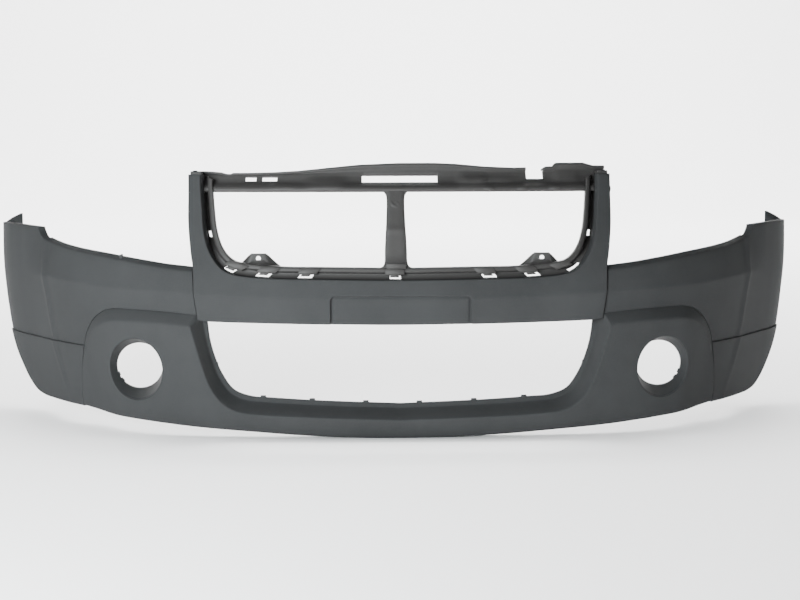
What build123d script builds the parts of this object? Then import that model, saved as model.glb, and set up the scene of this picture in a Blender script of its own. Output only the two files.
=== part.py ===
from build123d import *
import math
import os

import numpy as np

os.makedirs("parts", exist_ok=True)

# Front bumper cover of a compact SUV: a recessed grille surround, two corner
# covers with the wheel-arch flares, a lower valance with fog-lamp pods and a
# central air intake, two lower corners, and the carrier parts of the upper
# grille. Millimetres. X across the car, Y rearwards, Z up. The origin is the
# middle of the bounding box at its base.

# ---------------------------------------------------------------- dimensions
SHIFT_Y = -263.6          # from the middle of the front face to the origin
SKIN = 3.0                # wall of the moulded skins
FLANGE = 20.0             # depth of the return flanges behind the face
GAP = 0.4                 # clearance between neighbouring mouldings
CREASE_Z = 284.0          # height of the body crease at the middle
LEAN_UP = 0.22            # rearward lean above the crease
LEAN_UP2 = 0.0006         # extra lean with height
LEAN_DOWN = 0.10          # rearward lean below the crease
CENTRE_PROUD = 5.0        # grille surround stands proud of the corner covers
POD_PROUD = 20.0          # fog-lamp pods and chin stand proud
CORNER_PROUD = 3.0        # lower corners stand proud
GRILLE_DEPTH = 22.0       # grille carrier sits this far behind the face
HEADER_DEPTH = 45.0       # header bar sits this far behind the face
PLATE_HALF = 138.0        # half width of the number-plate recess
PLATE_TOP = 286.0
PLATE_DEPTH = 1.0         # flat of the recess, behind the middle of the crease
FOG_X = 529.0             # fog-lamp axis
FOG_Z = 135.0
FOG_RIM_R = 63.0          # rim on the pod face
FOG_BORE_R = 46.5         # lamp bore at the back of the sleeve
FOG_WALL = 2.6
FOG_BACK = 126.0          # depth of the bore's back edge from the front face
FOG_LAND = 8.0            # straight part of the bore
EAR_X = 281.0             # bracket hole
EAR_Z = 356.0
EAR_HOLE_R = 4.8
RIVET_HOLE_R = 4.2
RIVET_R = 4.0
RIVET_BORE_R = 2.1
PIN_R = 2.0
RIVET_HEAD_R = 9.0
PIN_TRAVEL = 7.0

# Plan curve of the crease line: half width against depth.
PLAN = [(0, 0), (97, 1.5), (195, 6), (292, 15), (414, 33), (487, 53),
        (545, 78), (603, 115), (662, 163), (710, 212), (745, 255), (768, 287),
        (790, 318), (815, 352), (842, 388), (864, 422), (880, 455), (892, 488),
        (899, 515), (900, 545)]

# Outlines seen from the front, right half, (x, z).
POST_OUTER = [(424, 522), (422, 480), (420, 425), (413, 365), (409, 341),
              (406, 288), (401, 248), (400, 236)]
FACE_INNER = [(399, 522), (398, 500), (393, 450), (389, 414), (381, 382),
              (369, 358), (354, 340), (338, 330), (318, 325), (262, 320),
              (160, 318), (0, 316)]
GRILLE_HOLE = [(374, 487), (370, 452), (364, 412), (354, 382), (342, 364),
               (326, 352), (308, 348), (229, 341), (157, 340), (28, 338)]
CENTRE_LOWER = [(400, 236), (385, 235), (266, 232), (134, 230), (0, 228)]
WING_TOP = [(409, 341), (466, 346), (515, 352), (597, 362), (675, 370),
            (724, 377), (748, 383), (762, 390), (765, 399), (772, 407),
            (800, 409), (850, 412), (960, 414)]
WING_LOWER = [(401, 246), (471, 252), (531, 254), (580, 253), (604, 245),
              (626, 227), (639, 207), (647, 190), (652, 171), (743, 170),
              (960, 167)]
POD_TOP = [(401, 225), (468, 230), (533, 232), (582, 230), (606, 221),
           (622, 205), (635, 180), (645, 168), (660, 150)]
POD_OUTER = [(652, 171), (658, 122), (661, 65), (659, 30), (658, -60)]
CHIN = [(0, 0), (111, 2), (194, 6), (295, 13), (398, 20), (505, 29),
        (620, 37), (659, 39)]
INTAKE_FRONT = [(413, 250), (412, 225), (404, 191), (392, 148), (376, 103),
                (355, 74), (325, 56), (280, 50), (168, 45), (0, 40)]
INTAKE_BACK = [(391, 250), (389, 226), (385, 195), (376, 160), (361, 124),
               (338, 93), (303, 80), (261, 77), (167, 72), (0, 66)]
# Wheel-arch edge seen from the side, (depth from the front face, z).
ARCH = [(532, 470), (532, 300), (522, 262), (505, 226), (478, 180),
        (446, 138), (416, 102), (386, 66), (362, 47), (330, 39), (290, 38),
        (200, 38)]


# ---------------------------------------------------------------- geometry
def slopes(t, v):
    """Shape-preserving slopes for a cubic through (t, v)."""
    h = np.diff(t)
    d = np.diff(v) / h
    m = np.zeros(len(t))
    for i in range(1, len(t) - 1):
        if d[i - 1] * d[i] > 0:
            w1 = 2 * h[i] + h[i - 1]
            w2 = h[i] + 2 * h[i - 1]
            m[i] = (w1 + w2) / (w1 / d[i - 1] + w2 / d[i])
    m[0], m[-1] = d[0], d[-1]
    return m


def cubic(t, v, m, q):
    i = min(max(int(np.searchsorted(t, q)) - 1, 0), len(t) - 2)
    h = t[i + 1] - t[i]
    u = (q - t[i]) / h
    a = (2 * u**3 - 3 * u**2 + 1) * v[i] + (u**3 - 2 * u**2 + u) * h * m[i]
    return a + (-2 * u**3 + 3 * u**2) * v[i + 1] + (u**3 - u**2) * h * m[i + 1]


half = np.array(PLAN, float)
full = np.vstack([half[:0:-1] * [-1, 1], half])
chord = np.concatenate([[0], np.cumsum(np.hypot(*np.diff(full, axis=0).T))])
chord = chord - chord[len(half) - 1]
MX, MY = slopes(chord, full[:, 0]), slopes(chord, full[:, 1])
S_END = float(chord[-1])


def plan_point(s):
    return (cubic(chord, full[:, 0], MX, s), cubic(chord, full[:, 1], MY, s))


def plan_normal(s):
    e = 1.0
    x0, y0 = plan_point(max(s - e, -S_END))
    x1, y1 = plan_point(min(s + e, S_END))
    n = math.hypot(x1 - x0, y1 - y0)
    return ((y1 - y0) / n, -(x1 - x0) / n)


def s_of_x(x):
    lo, hi = -S_END, S_END
    for _ in range(50):
        mid = (lo + hi) / 2
        if plan_point(mid)[0] < x:
            lo = mid
        else:
            hi = mid
    return (lo + hi) / 2


def lean(z, crease=CREASE_Z):
    if z > crease:
        return LEAN_UP * (z - crease) + LEAN_UP2 * (z - crease) ** 2
    return LEAN_DOWN * (crease - z)


def face_y(x, z):
    """Depth of the base surface at (x, z)."""
    return plan_point(s_of_x(x))[1] + lean(z) + SHIFT_Y


def table(pts, x):
    a = np.array(sorted((abs(p), q) for p, q in pts), float)
    return float(np.interp(abs(x), a[:, 0], a[:, 1]))


def station(s):
    """Upright plane across the plan curve, local x outwards, local y up."""
    x, y = plan_point(s)
    nx, ny = plan_normal(s)
    return Plane(origin=(x, y + SHIFT_Y, 0), x_dir=(nx, ny, 0),
                 z_dir=(ny, -nx, 0))


def lofted(stations, profile):
    """Solid through upright sections; profile(s) lists (outward, z)."""
    with BuildPart() as body:
        for s in stations:
            with BuildSketch(station(s)):
                with BuildLine():
                    Polyline(*profile(s), close=True)
                make_face()
        loft(ruled=True)
    return body.part


def inset_points(pts, d):
    """Move each side of a closed outline inwards by d."""
    p = [tuple(map(float, q)) for q in pts]
    area = sum(p[i][0] * p[(i + 1) % len(p)][1] -
               p[(i + 1) % len(p)][0] * p[i][1] for i in range(len(p)))
    turn = 1 if area > 0 else -1
    sides = []
    for i in range(len(p)):
        (x0, z0), (x1, z1) = p[i], p[(i + 1) % len(p)]
        n = math.hypot(x1 - x0, z1 - z0)
        ux, uz = (x1 - x0) / n, (z1 - z0) / n
        sides.append((x0 - turn * uz * d, z0 + turn * ux * d, ux, uz))
    out = []
    for i in range(len(p)):
        x0, z0, ax, az = sides[i - 1]
        x1, z1, bx, bz = sides[i]
        den = ax * bz - az * bx
        if abs(den) < 1e-6:
            out.append((x1, z1))
        else:
            t = ((x1 - x0) * bz - (z1 - z0) * bx) / den
            out.append((x0 + t * ax, z0 + t * az))
    return out


def front_prism(pts, inset=0.0):
    """Outline in the XZ plane carried right through along Y."""
    with BuildPart() as body:
        with BuildSketch(Plane.XZ):
            with BuildLine():
                Polyline(*(inset_points(pts, inset) if inset else pts),
                         close=True)
            make_face()
        extrude(amount=1200, both=True)
    return body.part


def side_prism(pts, inset=0.0):
    """Outline in the YZ plane, (depth from the front face, z), through X."""
    pts = [(y + SHIFT_Y, z) for y, z in pts]
    with BuildPart() as body:
        with BuildSketch(Plane.YZ):
            with BuildLine():
                Polyline(*(inset_points(pts, inset) if inset else pts),
                         close=True)
            make_face()
        extrude(amount=1200, both=True)
    return body.part


def rod(origin, axis, r, length):
    with BuildPart() as body:
        with BuildSketch(Plane(origin=origin, z_dir=axis)):
            Circle(r)
        extrude(amount=length)
    return body.part


def band(levels, proud, d0, d1, crease=CREASE_Z, crease_rise=0.0):
    """Section profile between depths d0 and d1 behind a skin surface."""
    def profile(s):
        x = abs(plan_point(s)[0])
        zc = crease + crease_rise * max(0.0, x - 409) / 321
        zs = sorted(set(list(levels) + [zc]))
        outer = [(proud - lean(z, zc), z) for z in zs]
        return ([(o - d0, z) for o, z in outer] +
                [(o - d1, z) for o, z in reversed(outer)])
    return profile


def mirror_x(shape):
    with BuildPart() as body:
        add(shape)
        mirror(about=Plane.YZ, mode=Mode.REPLACE)
    return body.part


def both_sides(pts):
    """Close a right-half outline with its mirror image."""
    return pts + [(-x, z) for x, z in reversed(pts) if x > 0]


def on_face(x, z, depth=0.0):
    """Depth coordinate at (x, z) of the base surface moved inwards."""
    o = -lean(z) - depth
    lo, hi = 0.0, S_END
    for _ in range(50):
        mid = (lo + hi) / 2
        if plan_point(mid)[0] + o * plan_normal(mid)[0] < x:
            lo = mid
        else:
            hi = mid
    return float(plan_point(lo)[1] + o * plan_normal(lo)[1] + SHIFT_Y)


# ---------------------------------------------------------------- grille surround
# U-shaped face with two posts, leaning back with height, and the wide panel
# below the grille with the number-plate recess.
u_outline = both_sides(POST_OUTER + CENTRE_LOWER[1:])
u_hole = both_sides([(399, 560)] + FACE_INNER)
centre_stations = [s_of_x(x) for x in
                   (-446, -410, -370, -320, -260, -200, -130, -60, 0, 60, 130,
                    200, 260, 320, 370, 410, 446)]
levels_centre = [205, 330, 400, 470, 545]
t_centre = lofted(centre_stations,
                  band(levels_centre, CENTRE_PROUD, 0, FLANGE))
d_centre = lofted(centre_stations,
                  band(levels_centre, CENTRE_PROUD, SKIN, FLANGE + 30))
p_centre = front_prism(u_outline)
p_centre_in = front_prism(u_outline, SKIN)
h_centre = front_prism(u_hole)
h_centre_out = front_prism(u_hole, -SKIN)

plate_tilt = math.atan(LEAN_DOWN)
plate_plane = Plane(origin=(0, PLATE_DEPTH + SHIFT_Y, PLATE_TOP),
                    x_dir=(1, 0, 0),
                    z_dir=(0, -math.cos(plate_tilt), -math.sin(plate_tilt)))
with BuildPart() as plate_cut:
    with BuildSketch(plate_plane):
        with Locations((0, -50)):
            RectangleRounded(2 * PLATE_HALF, 100, 10)
    extrude(amount=40)
with BuildPart() as plate_back:
    with BuildSketch(plate_plane.offset(-SKIN)):
        with Locations((0, -25)):
            Rectangle(2 * PLATE_HALF + 6, 56)
    extrude(amount=SKIN + 5)
plate_pad = plate_back.part & p_centre_in & t_centre
centre_hollow = (d_centre & p_centre_in) - h_centre_out

with BuildPart() as centre_panel:
    add(t_centre)
    add(p_centre, mode=Mode.INTERSECT)
    add(h_centre, mode=Mode.SUBTRACT)
    add(centre_hollow, mode=Mode.SUBTRACT)
    add(plate_pad)
    add(plate_cut.part, mode=Mode.SUBTRACT)

# ---------------------------------------------------------------- corner covers
wing_stations = [s_of_x(x) for x in
                 (385, 430, 475, 520, 560, 600, 640, 680, 715, 745)] + \
    list(np.linspace(s_of_x(768), S_END - 0.5, 11))
levels_wing = [140, 345, 440]
t_wing = lofted(wing_stations, band(levels_wing, 0, 0, FLANGE, 289, 16))
d_wing = lofted(wing_stations,
                band(levels_wing, 0, SKIN, FLANGE + 16, 289, 16))
wing_outline = [(409 + GAP, 341)] + WING_TOP[1:] + \
    list(reversed(WING_LOWER[1:])) + [(402 + GAP, 246), (406 + GAP, 288)]
p_wing = front_prism(wing_outline)
p_wing_in = front_prism(wing_outline, SKIN)
arch_outline = [(-60, 500)] + [(532, 500)] + ARCH[1:] + [(-60, 38)]
a_edge = side_prism(arch_outline)
a_edge_in = side_prism(arch_outline, SKIN)
wing_hollow = d_wing & p_wing_in & a_edge_in

with BuildPart() as right_wing:
    add(t_wing)
    add(p_wing, mode=Mode.INTERSECT)
    add(a_edge, mode=Mode.INTERSECT)
    add(wing_hollow, mode=Mode.SUBTRACT)

# ---------------------------------------------------------------- lower corners
corner_stations = [s_of_x(x) for x in (630, 655, 680, 705, 730, 755, 778)] + \
    list(np.linspace(s_of_x(800), S_END - 0.5, 9))
levels_corner = [0, 60, 120, 200]
t_corner = lofted(corner_stations,
                  band(levels_corner, CORNER_PROUD, 0, FLANGE + 3))
d_corner = lofted(corner_stations,
                  band(levels_corner, CORNER_PROUD, SKIN, FLANGE + 16))
corner_outline = [(x + GAP, z - GAP) for x, z in POD_OUTER] + \
    [(960, -60)] + [(x, z - GAP) for x, z in (WING_LOWER[10], WING_LOWER[9])]
p_corner = front_prism(corner_outline)
p_corner_in = front_prism(corner_outline, SKIN)
corner_hollow = d_corner & p_corner_in & a_edge_in

with BuildPart() as right_corner:
    add(t_corner)
    add(p_corner, mode=Mode.INTERSECT)
    add(a_edge, mode=Mode.INTERSECT)
    add(corner_hollow, mode=Mode.SUBTRACT)

# ---------------------------------------------------------------- lower valance
# Fog-lamp pods and chin in one, with the flared intake between them.


def pod_proud(x):
    t = min(max((abs(x) - 565) / 90, 0), 1)
    return POD_PROUD - (POD_PROUD - 4) * t * t * (3 - 2 * t)


def tuck(z):
    return 0.004 * max(0.0, 60 - z) ** 2


def valance_band(d0, d1):
    def profile(s):
        x = abs(plan_point(s)[0])
        zp = table(POD_TOP, max(x, 401))
        zt = max(table(WING_LOWER, max(x, 401)), zp + 4)
        pr = pod_proud(x)
        outer = [(pr - lean(z) - tuck(z), z) for z in (-30, 20, 60, 120, zp)]
        outer += [(-lean(zt), zt), (-lean(zt + 25), zt + 25)]
        return ([(o - d0, z) for o, z in outer] +
                [(o - d1, z) for o, z in reversed(outer)])
    return profile


valance_stations = [s_of_x(x) for x in
                    (-672, -650, -630, -600, -565, -520, -470, -420, -340,
                     -230, -110, 0, 110, 230, 340, 420, 470, 520, 565, 600,
                     630, 650, 672)]
t_valance = lofted(valance_stations, valance_band(0, 46))
d_valance = lofted(valance_stations, valance_band(SKIN, 90))
d_behind = lofted(valance_stations, valance_band(FLANGE + 2, 90))
valance_outline = both_sides(
    [(401 + GAP, 245.6)] + [(x, z - GAP) for x, z in WING_LOWER[1:8]] +
    [(652 - GAP, 171 - GAP)] + [(x - GAP, z) for x, z in POD_OUTER[1:3]] +
    [(x, z) for x, z in reversed(CHIN)])
valance_outline = [(400.6, 234.6), (385, 234.2), (266, 231), (134, 229),
                   (-134, 229), (-266, 231), (-385, 234.2),
                   (-400.6, 234.6)][::-1] + valance_outline
p_valance = front_prism(valance_outline)
p_valance_in = front_prism(valance_outline, SKIN)


def intake_cut(grow):
    """Flared opening through the valance, ruled from front to back."""
    near, far = -60.0, 150.0
    rings = ([], [])
    for (fx, fz), (bx, bz) in zip(INTAKE_FRONT, INTAKE_BACK):
        yf = face_y(fx, fz) - SHIFT_Y - POD_PROUD
        yb = yf + 45.0
        for ring, y in zip(rings, (near, far)):
            t = (y - yf) / (yb - yf)
            ring.append((fx + (bx - fx) * t, fz + (bz - fz) * t))
    with BuildPart() as body:
        for ring, y in zip(rings, (near, far)):
            with BuildSketch(Plane.XZ.offset(-(y + SHIFT_Y))):
                outline = both_sides(ring)
                with BuildLine():
                    Polyline(*(inset_points(outline, -grow) if grow
                               else outline), close=True)
                make_face()
        loft(ruled=True)
    return body.part


intake = intake_cut(0)
intake_out = intake_cut(SKIN)
valance_hollow = (d_valance & p_valance_in) - intake_out
valance_behind = d_behind - intake_out

# Fog-lamp tunnel: an oblique cone from the tilted rim to the upright bore.
fog_s = s_of_x(FOG_X)
fog_n = plan_normal(fog_s)
fog_rim = Plane(origin=(FOG_X, face_y(FOG_X, FOG_Z) - POD_PROUD, FOG_Z),
                x_dir=(-fog_n[1], fog_n[0], 0), z_dir=(fog_n[0], fog_n[1], 0))
fog_back = Plane(origin=(FOG_X, FOG_BACK + SHIFT_Y, FOG_Z),
                 x_dir=(1, 0, 0), z_dir=(0, -1, 0))


def fog_cone(grow, back_extra=0.0):
    with BuildPart() as body:
        with BuildSketch(fog_back.offset(FOG_LAND)):
            Circle(FOG_BORE_R + grow)
        with BuildSketch(fog_rim):
            Circle(FOG_RIM_R + grow)
        loft()
        with BuildSketch(fog_rim):
            Circle(FOG_RIM_R + grow)
        extrude(amount=30)
        with BuildSketch(fog_back.offset(FOG_LAND)):
            Circle(FOG_BORE_R + grow)
        extrude(amount=-FOG_LAND - back_extra)
    return body.part


fog_in = fog_cone(0, 5)
fog_wall = fog_cone(FOG_WALL)
fog_clear = fog_cone(FOG_WALL + 0.3, 30)
front_stations = [s_of_x(x) for x in (420, 470, 520, 565, 600, 630, 650)]
in_front = lofted(front_stations, valance_band(-80, 0))

with BuildPart() as lower_valance:
    add(t_valance)
    add(p_valance, mode=Mode.INTERSECT)
    add(intake, mode=Mode.SUBTRACT)
    add(valance_hollow, mode=Mode.SUBTRACT)
    add(valance_behind, mode=Mode.SUBTRACT)
    add(fog_clear, mode=Mode.SUBTRACT)
    add(mirror_x(fog_clear), mode=Mode.SUBTRACT)

# two snap teeth in front of the land, which the lamp ring stops against
teeth = [fog_back * Rot(0, 0, a) * Pos(FOG_BORE_R - 0.2, 0, FOG_LAND + 1.8) *
         Box(6.4, 8, 3) for a in (-40, -22)]

with BuildPart() as right_fog_sleeve:
    add(fog_wall)
    with BuildSketch(fog_back):
        Circle(FOG_BORE_R + 9)
    extrude(amount=2.4)
    add(fog_in, mode=Mode.SUBTRACT)
    add(in_front, mode=Mode.SUBTRACT)
    add(teeth)

# ---------------------------------------------------------------- grille carrier
# Recessed channel that follows the U of the surround, with clip windows.
hole_outline = both_sides([(374, 560)] + GRILLE_HOLE + [(0, 338)])
levels_carrier = [300, 345, 400, 450, 500]
carrier_top = 487.0
ring_outer = front_prism(u_hole, GAP)
ring_inner = front_prism(u_hole, GAP + 2.6)
ring_hole = front_prism(hole_outline)
ring_lip = front_prism(hole_outline, -2.4)
below_top = front_prism([(-450, 280), (450, 280), (450, carrier_top),
                         (-450, carrier_top)])
carrier_slab = lofted(centre_stations,
                      band(levels_carrier, 0, 8, GRILLE_DEPTH + 3))
trough = lofted(centre_stations, band(levels_carrier, 0, 0, GRILLE_DEPTH))
above_lip = lofted(centre_stations, band(levels_carrier, 0, 0, 15))
window_zone = lofted(centre_stations, band(levels_carrier, 0, 18, 40))

CLIPS = [(0, 327.5, 0), (174, 328.5, 1), (258, 331, 2), (345, 345, 38)]
clip_cuts = []
for cx, cz, ca in CLIPS:
    for sx in ((1,) if cx == 0 else (1, -1)):
        with BuildPart() as window:
            with BuildSketch(Plane(origin=(sx * cx, 0, cz), x_dir=(1, 0, 0),
                                   z_dir=(0, -1, 0))):
                Rectangle(24, 7, rotation=sx * ca)
            extrude(amount=400, both=True)
        clip_cuts.append(window.part & window_zone)

with BuildPart() as grille_carrier:
    add(carrier_slab)
    add(ring_outer, mode=Mode.INTERSECT)
    add(below_top, mode=Mode.INTERSECT)
    add(ring_hole, mode=Mode.SUBTRACT)
    add((trough & ring_inner) - ring_lip, mode=Mode.SUBTRACT)
    add(above_lip & ring_inner, mode=Mode.SUBTRACT)
    for cut in clip_cuts:
        add(cut, mode=Mode.SUBTRACT)

# ---------------------------------------------------------------- centre post
post_half = [(20, 337), (20, 410), (17, 450), (17, 488.6)]
post_outline = [(x, z) for x, z in post_half] + \
    [(-x, z) for x, z in reversed(post_half)]
post_outline = [(x, max(z, 338.4)) for x, z in post_outline]
post_stations = [s_of_x(x) for x in (-40, -20, 0, 20, 40)]
t_post = lofted(post_stations, band([320, 400, 450, 520], 0, 14, 30))
d_post = lofted(post_stations, band([320, 400, 450, 520], 0, 17, 60))
p_post = front_prism(post_outline)
p_post_in = front_prism(post_outline, SKIN)
post_hollow = d_post & p_post_in
post_foot = lofted(post_stations, band([320, 400], 0, 25.4, 28.4)) & \
    front_prism([(-15, 324), (15, 324), (15, 345), (-15, 345)])
with BuildPart() as centre_post:
    add(t_post)
    add(p_post, mode=Mode.INTERSECT)
    add(post_hollow, mode=Mode.SUBTRACT)
    add(post_foot)

# ---------------------------------------------------------------- bracket ears
ear_outline = [(231, 331), (324, 340), (324, 352), (308, 365.5),
               (266, 365.5), (231, 344)]
ear_stations = [s_of_x(x) for x in (200, 240, 281, 320, 350)]
ear_band = lofted(ear_stations, band([315, 345, 380], 0, 25.4, 28.4))
ear_y = on_face(EAR_X, EAR_Z, 26)
with BuildPart() as right_ear:
    add(ear_band)
    add(front_prism(ear_outline), mode=Mode.INTERSECT)
    with BuildSketch(Plane.XZ.offset(-(ear_y - 3))):
        with Locations((EAR_X, EAR_Z)):
            Circle(8.5)
    extrude(amount=-8)
    with BuildSketch(Plane.XZ.offset(-(ear_y - 10))):
        with Locations((EAR_X, EAR_Z)):
            Circle(EAR_HOLE_R)
    extrude(amount=-25, mode=Mode.SUBTRACT)

# ---------------------------------------------------------------- header bar
HEADER_TOP = [(-440, 528), (-398, 528), (-380, 521), (-346, 518), (-277, 519),
              (-185, 530), (-83, 536), (0, 541), (111, 540), (172, 530),
              (266, 529), (326, 536), (386, 538), (400, 531), (440, 530)]
HEADER_L, HEADER_R = -430, 446


def header_profile(s):
    x = plan_point(s)[0]
    top = float(np.interp(x, [p[0] for p in HEADER_TOP],
                          [p[1] for p in HEADER_TOP]))
    return [(-93, 489), (-93, 499), (-121, 511), (-131, top),
            (-134, top), (-124.5, 508.5), (-96, 496.5), (-96, 492),
            (-113, 492), (-113, 489)]


header_stations = [s_of_x(x) for x in
                   (HEADER_L, -410, -398, -382, -346, -277, -185, -83, 0, 111, 172, 266,
                    326, 386, 405, 425, HEADER_R)]
header_loft = lofted(header_stations, header_profile)
tab_band = lofted([s_of_x(x) for x in (360, 400, 430, 470)],
                  band([505, 540], 0, 3, 50))
tab = tab_band & front_prism([(401, 522.4), (431, 522.4),
                              (431, 525.4), (401, 525.4)])
tab_left = mirror_x(tab_band & front_prism(
    [(398, 522.4), (425, 522.4), (425, 525.4), (398, 525.4)]))
with BuildPart() as slots:
    with BuildSketch(Plane.XZ):
        with Locations((0, 509.5)):
            SlotOverall(152, 14)
        with Locations((-300, 509)):
            RectangleRounded(22, 9, 2)
        with Locations((-262, 509.5)):
            RectangleRounded(30, 9, 2)
        with Locations((274, 520)):
            Rectangle(34, 22)
    extrude(amount=600, both=True)
slot_zone = lofted(header_stations, lambda s: [
    (-97.5, 480), (-97.5, 560), (-150, 560), (-150, 480)])

with BuildPart() as header_bar:
    add(header_loft)
    add(slots.part & slot_zone, mode=Mode.SUBTRACT)
    add(tab)
    add(tab_left)

# ---------------------------------------------------------------- push rivets
# Each rivet is a flanged sleeve with a spreading pin that pulls out to free
# it. (name, seat point of the flange, outward axis)
RIVETS = [
    ("header", (411.5, on_face(411.5, 522, 7), 525.5), (0, 0, 1)),
    ("seam", (411.3, on_face(409, 312, 13.2), 312), (1, 0, 0)),
    ("pod", (500, on_face(500, 253, 14.2), 258.0), (0, 0, 1)),
    ("corner", (663.6, on_face(660, 93, 15.2), 93), (1, 0, 0)),
    ("step", (700, on_face(700, 170, 13.8), 174.6), (0, 0, 1)),
]
rivet_shapes, pin_shapes, hole_shapes = [], {}, []
for name, seat, axis in RIVETS:
    back = tuple(-c for c in axis)
    with BuildPart() as sleeve:
        with BuildSketch(Plane(origin=seat, z_dir=axis)):
            Circle(RIVET_HEAD_R)
        extrude(amount=1.6)
        with BuildSketch(Plane(origin=seat, z_dir=axis)):
            Circle(RIVET_R)
        extrude(amount=-12)
        with BuildSketch(Plane(origin=seat, z_dir=axis)):
            Circle(RIVET_BORE_R)
        extrude(amount=20, both=True, mode=Mode.SUBTRACT)
    top = tuple(c + 1.7 * a for c, a in zip(seat, axis))
    with BuildPart() as pin:
        with BuildSketch(Plane(origin=top, z_dir=axis)):
            Circle(4.6)
        extrude(amount=1.6)
        with BuildSketch(Plane(origin=top, z_dir=axis)):
            Circle(PIN_R)
        extrude(amount=-15)
    rivet_shapes.append(sleeve.part)
    pin_shapes[name] = pin.part
    hole_shapes.append(rod(seat, back, RIVET_HOLE_R, 9.5))

holes_right = hole_shapes
holes_left = [mirror_x(h) for h in hole_shapes]


def with_holes(shape, cuts):
    with BuildPart() as body:
        add(shape)
        for c in cuts:
            add(c, mode=Mode.SUBTRACT)
    return body


centre_panel = with_holes(centre_panel.part,
                          [holes_right[0], holes_right[1],
                           holes_left[0], holes_left[1]])
header_bar = with_holes(header_bar.part, [holes_right[0], holes_left[0]])
right_wing = with_holes(right_wing.part,
                        [holes_right[1], holes_right[2], holes_right[4]])
lower_valance = with_holes(lower_valance.part,
                           [holes_right[2], holes_right[3],
                            holes_left[2], holes_left[3]])
right_corner = with_holes(right_corner.part, [holes_right[3], holes_right[4]])

with BuildPart() as rivet_sleeves:
    for r in rivet_shapes:
        add(r)
        add(mirror_x(r))

# ---------------------------------------------------------------- write
parts = {
    "centre_panel": centre_panel.part,
    "right_corner_cover": right_wing.part,
    "left_corner_cover": mirror_x(right_wing.part),
    "right_lower_corner": right_corner.part,
    "left_lower_corner": mirror_x(right_corner.part),
    "lower_valance": lower_valance.part,
    "right_fog_sleeve": right_fog_sleeve.part,
    "left_fog_sleeve": mirror_x(right_fog_sleeve.part),
    "grille_carrier": grille_carrier.part,
    "centre_post": centre_post.part,
    "right_bracket_ear": right_ear.part,
    "left_bracket_ear": mirror_x(right_ear.part),
    "header_bar": header_bar.part,
    "rivet_sleeves": rivet_sleeves.part,
}
for name, shape in pin_shapes.items():
    parts["right_%s_pin" % name] = shape
    parts["left_%s_pin" % name] = mirror_x(shape)

lo, hi = [1e9] * 3, [-1e9] * 3
for name, shape in parts.items():
    shape.label = name
    export_step(shape, "parts/%s.step" % name)
    b = shape.bounding_box()
    lo = [min(a, c) for a, c in zip(lo, tuple(b.min))]
    hi = [max(a, c) for a, c in zip(hi, tuple(b.max))]
    print("%-22s %d solids %9.0f mm3  %s %s" % (
        name, len(shape.solids()), shape.volume,
        tuple(round(v) for v in b.min), tuple(round(v) for v in b.max)))
print("box", [round(v, 2) for v in lo], [round(v, 2) for v in hi])
for name, seat, axis in RIVETS:
    print("seat", name, [round(v, 2) for v in seat], axis)
print("ear y", round(ear_y, 3))
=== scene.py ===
import math

import bpy
import numpy as np
from mathutils import Matrix, Vector
from mathutils.geometry import delaunay_2d_cdt
from mathutils.kdtree import KDTree


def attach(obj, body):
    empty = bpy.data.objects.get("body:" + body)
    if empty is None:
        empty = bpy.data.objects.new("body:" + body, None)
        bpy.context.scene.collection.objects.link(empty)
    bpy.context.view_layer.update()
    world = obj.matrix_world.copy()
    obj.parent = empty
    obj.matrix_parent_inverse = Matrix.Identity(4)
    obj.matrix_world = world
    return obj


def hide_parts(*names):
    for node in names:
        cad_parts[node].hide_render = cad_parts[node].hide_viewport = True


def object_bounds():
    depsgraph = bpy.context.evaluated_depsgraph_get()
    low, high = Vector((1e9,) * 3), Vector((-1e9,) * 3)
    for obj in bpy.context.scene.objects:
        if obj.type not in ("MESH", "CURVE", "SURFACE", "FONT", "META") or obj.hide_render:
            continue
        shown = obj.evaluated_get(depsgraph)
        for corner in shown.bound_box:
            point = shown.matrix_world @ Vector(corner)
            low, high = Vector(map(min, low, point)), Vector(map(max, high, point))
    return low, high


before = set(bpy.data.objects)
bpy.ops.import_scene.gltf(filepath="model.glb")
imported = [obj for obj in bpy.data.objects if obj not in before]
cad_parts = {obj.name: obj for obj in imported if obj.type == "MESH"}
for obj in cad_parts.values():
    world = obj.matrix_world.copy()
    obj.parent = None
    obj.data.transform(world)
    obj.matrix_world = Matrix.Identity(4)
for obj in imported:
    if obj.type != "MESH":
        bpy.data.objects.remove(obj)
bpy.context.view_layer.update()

# ------------------------------------------------------------------ form
# The same plan curve, leans and outlines as the CAD part, in millimetres.
SHIFT_Y = -263.6
PLAN = [(0, 0), (97, 1.5), (195, 6), (292, 15), (414, 33), (487, 53),
        (545, 78), (603, 115), (662, 163), (710, 212), (745, 255), (768, 287),
        (790, 318), (815, 352), (842, 388), (864, 422), (880, 455), (892, 488),
        (899, 515), (900, 545)]
POST_OUTER = [(424, 521), (422, 480), (420, 425), (413, 365), (409, 341),
              (406, 288), (401, 248), (400, 237)]
FACE_INNER = [(399, 521), (398, 500), (393, 450), (389, 414), (381, 382),
              (369, 358), (354, 340), (338, 330), (318, 325), (262, 320),
              (160, 318), (0, 316)]
GRILLE_HOLE = [(376, 500), (374, 487), (370, 452), (364, 412), (354, 382),
               (342, 364), (326, 352), (308, 348), (229, 341), (157, 340),
               (0, 338)]
CENTRE_LOWER = [(400, 237), (385, 235), (266, 232), (134, 230), (0, 228.5)]
WING_TOP = [(409, 341), (466, 346), (515, 352), (597, 362), (675, 370),
            (724, 377), (748, 383), (760, 388.5)]
WING_LOWER = [(401, 246), (471, 252), (531, 254), (580, 253), (604, 245),
              (626, 227), (639, 207), (647, 190), (652, 174)]
POD_TOP = [(413, 225), (468, 230), (533, 232), (578, 230.5), (604, 221),
           (621, 205), (633, 184), (643, 168)]
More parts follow.
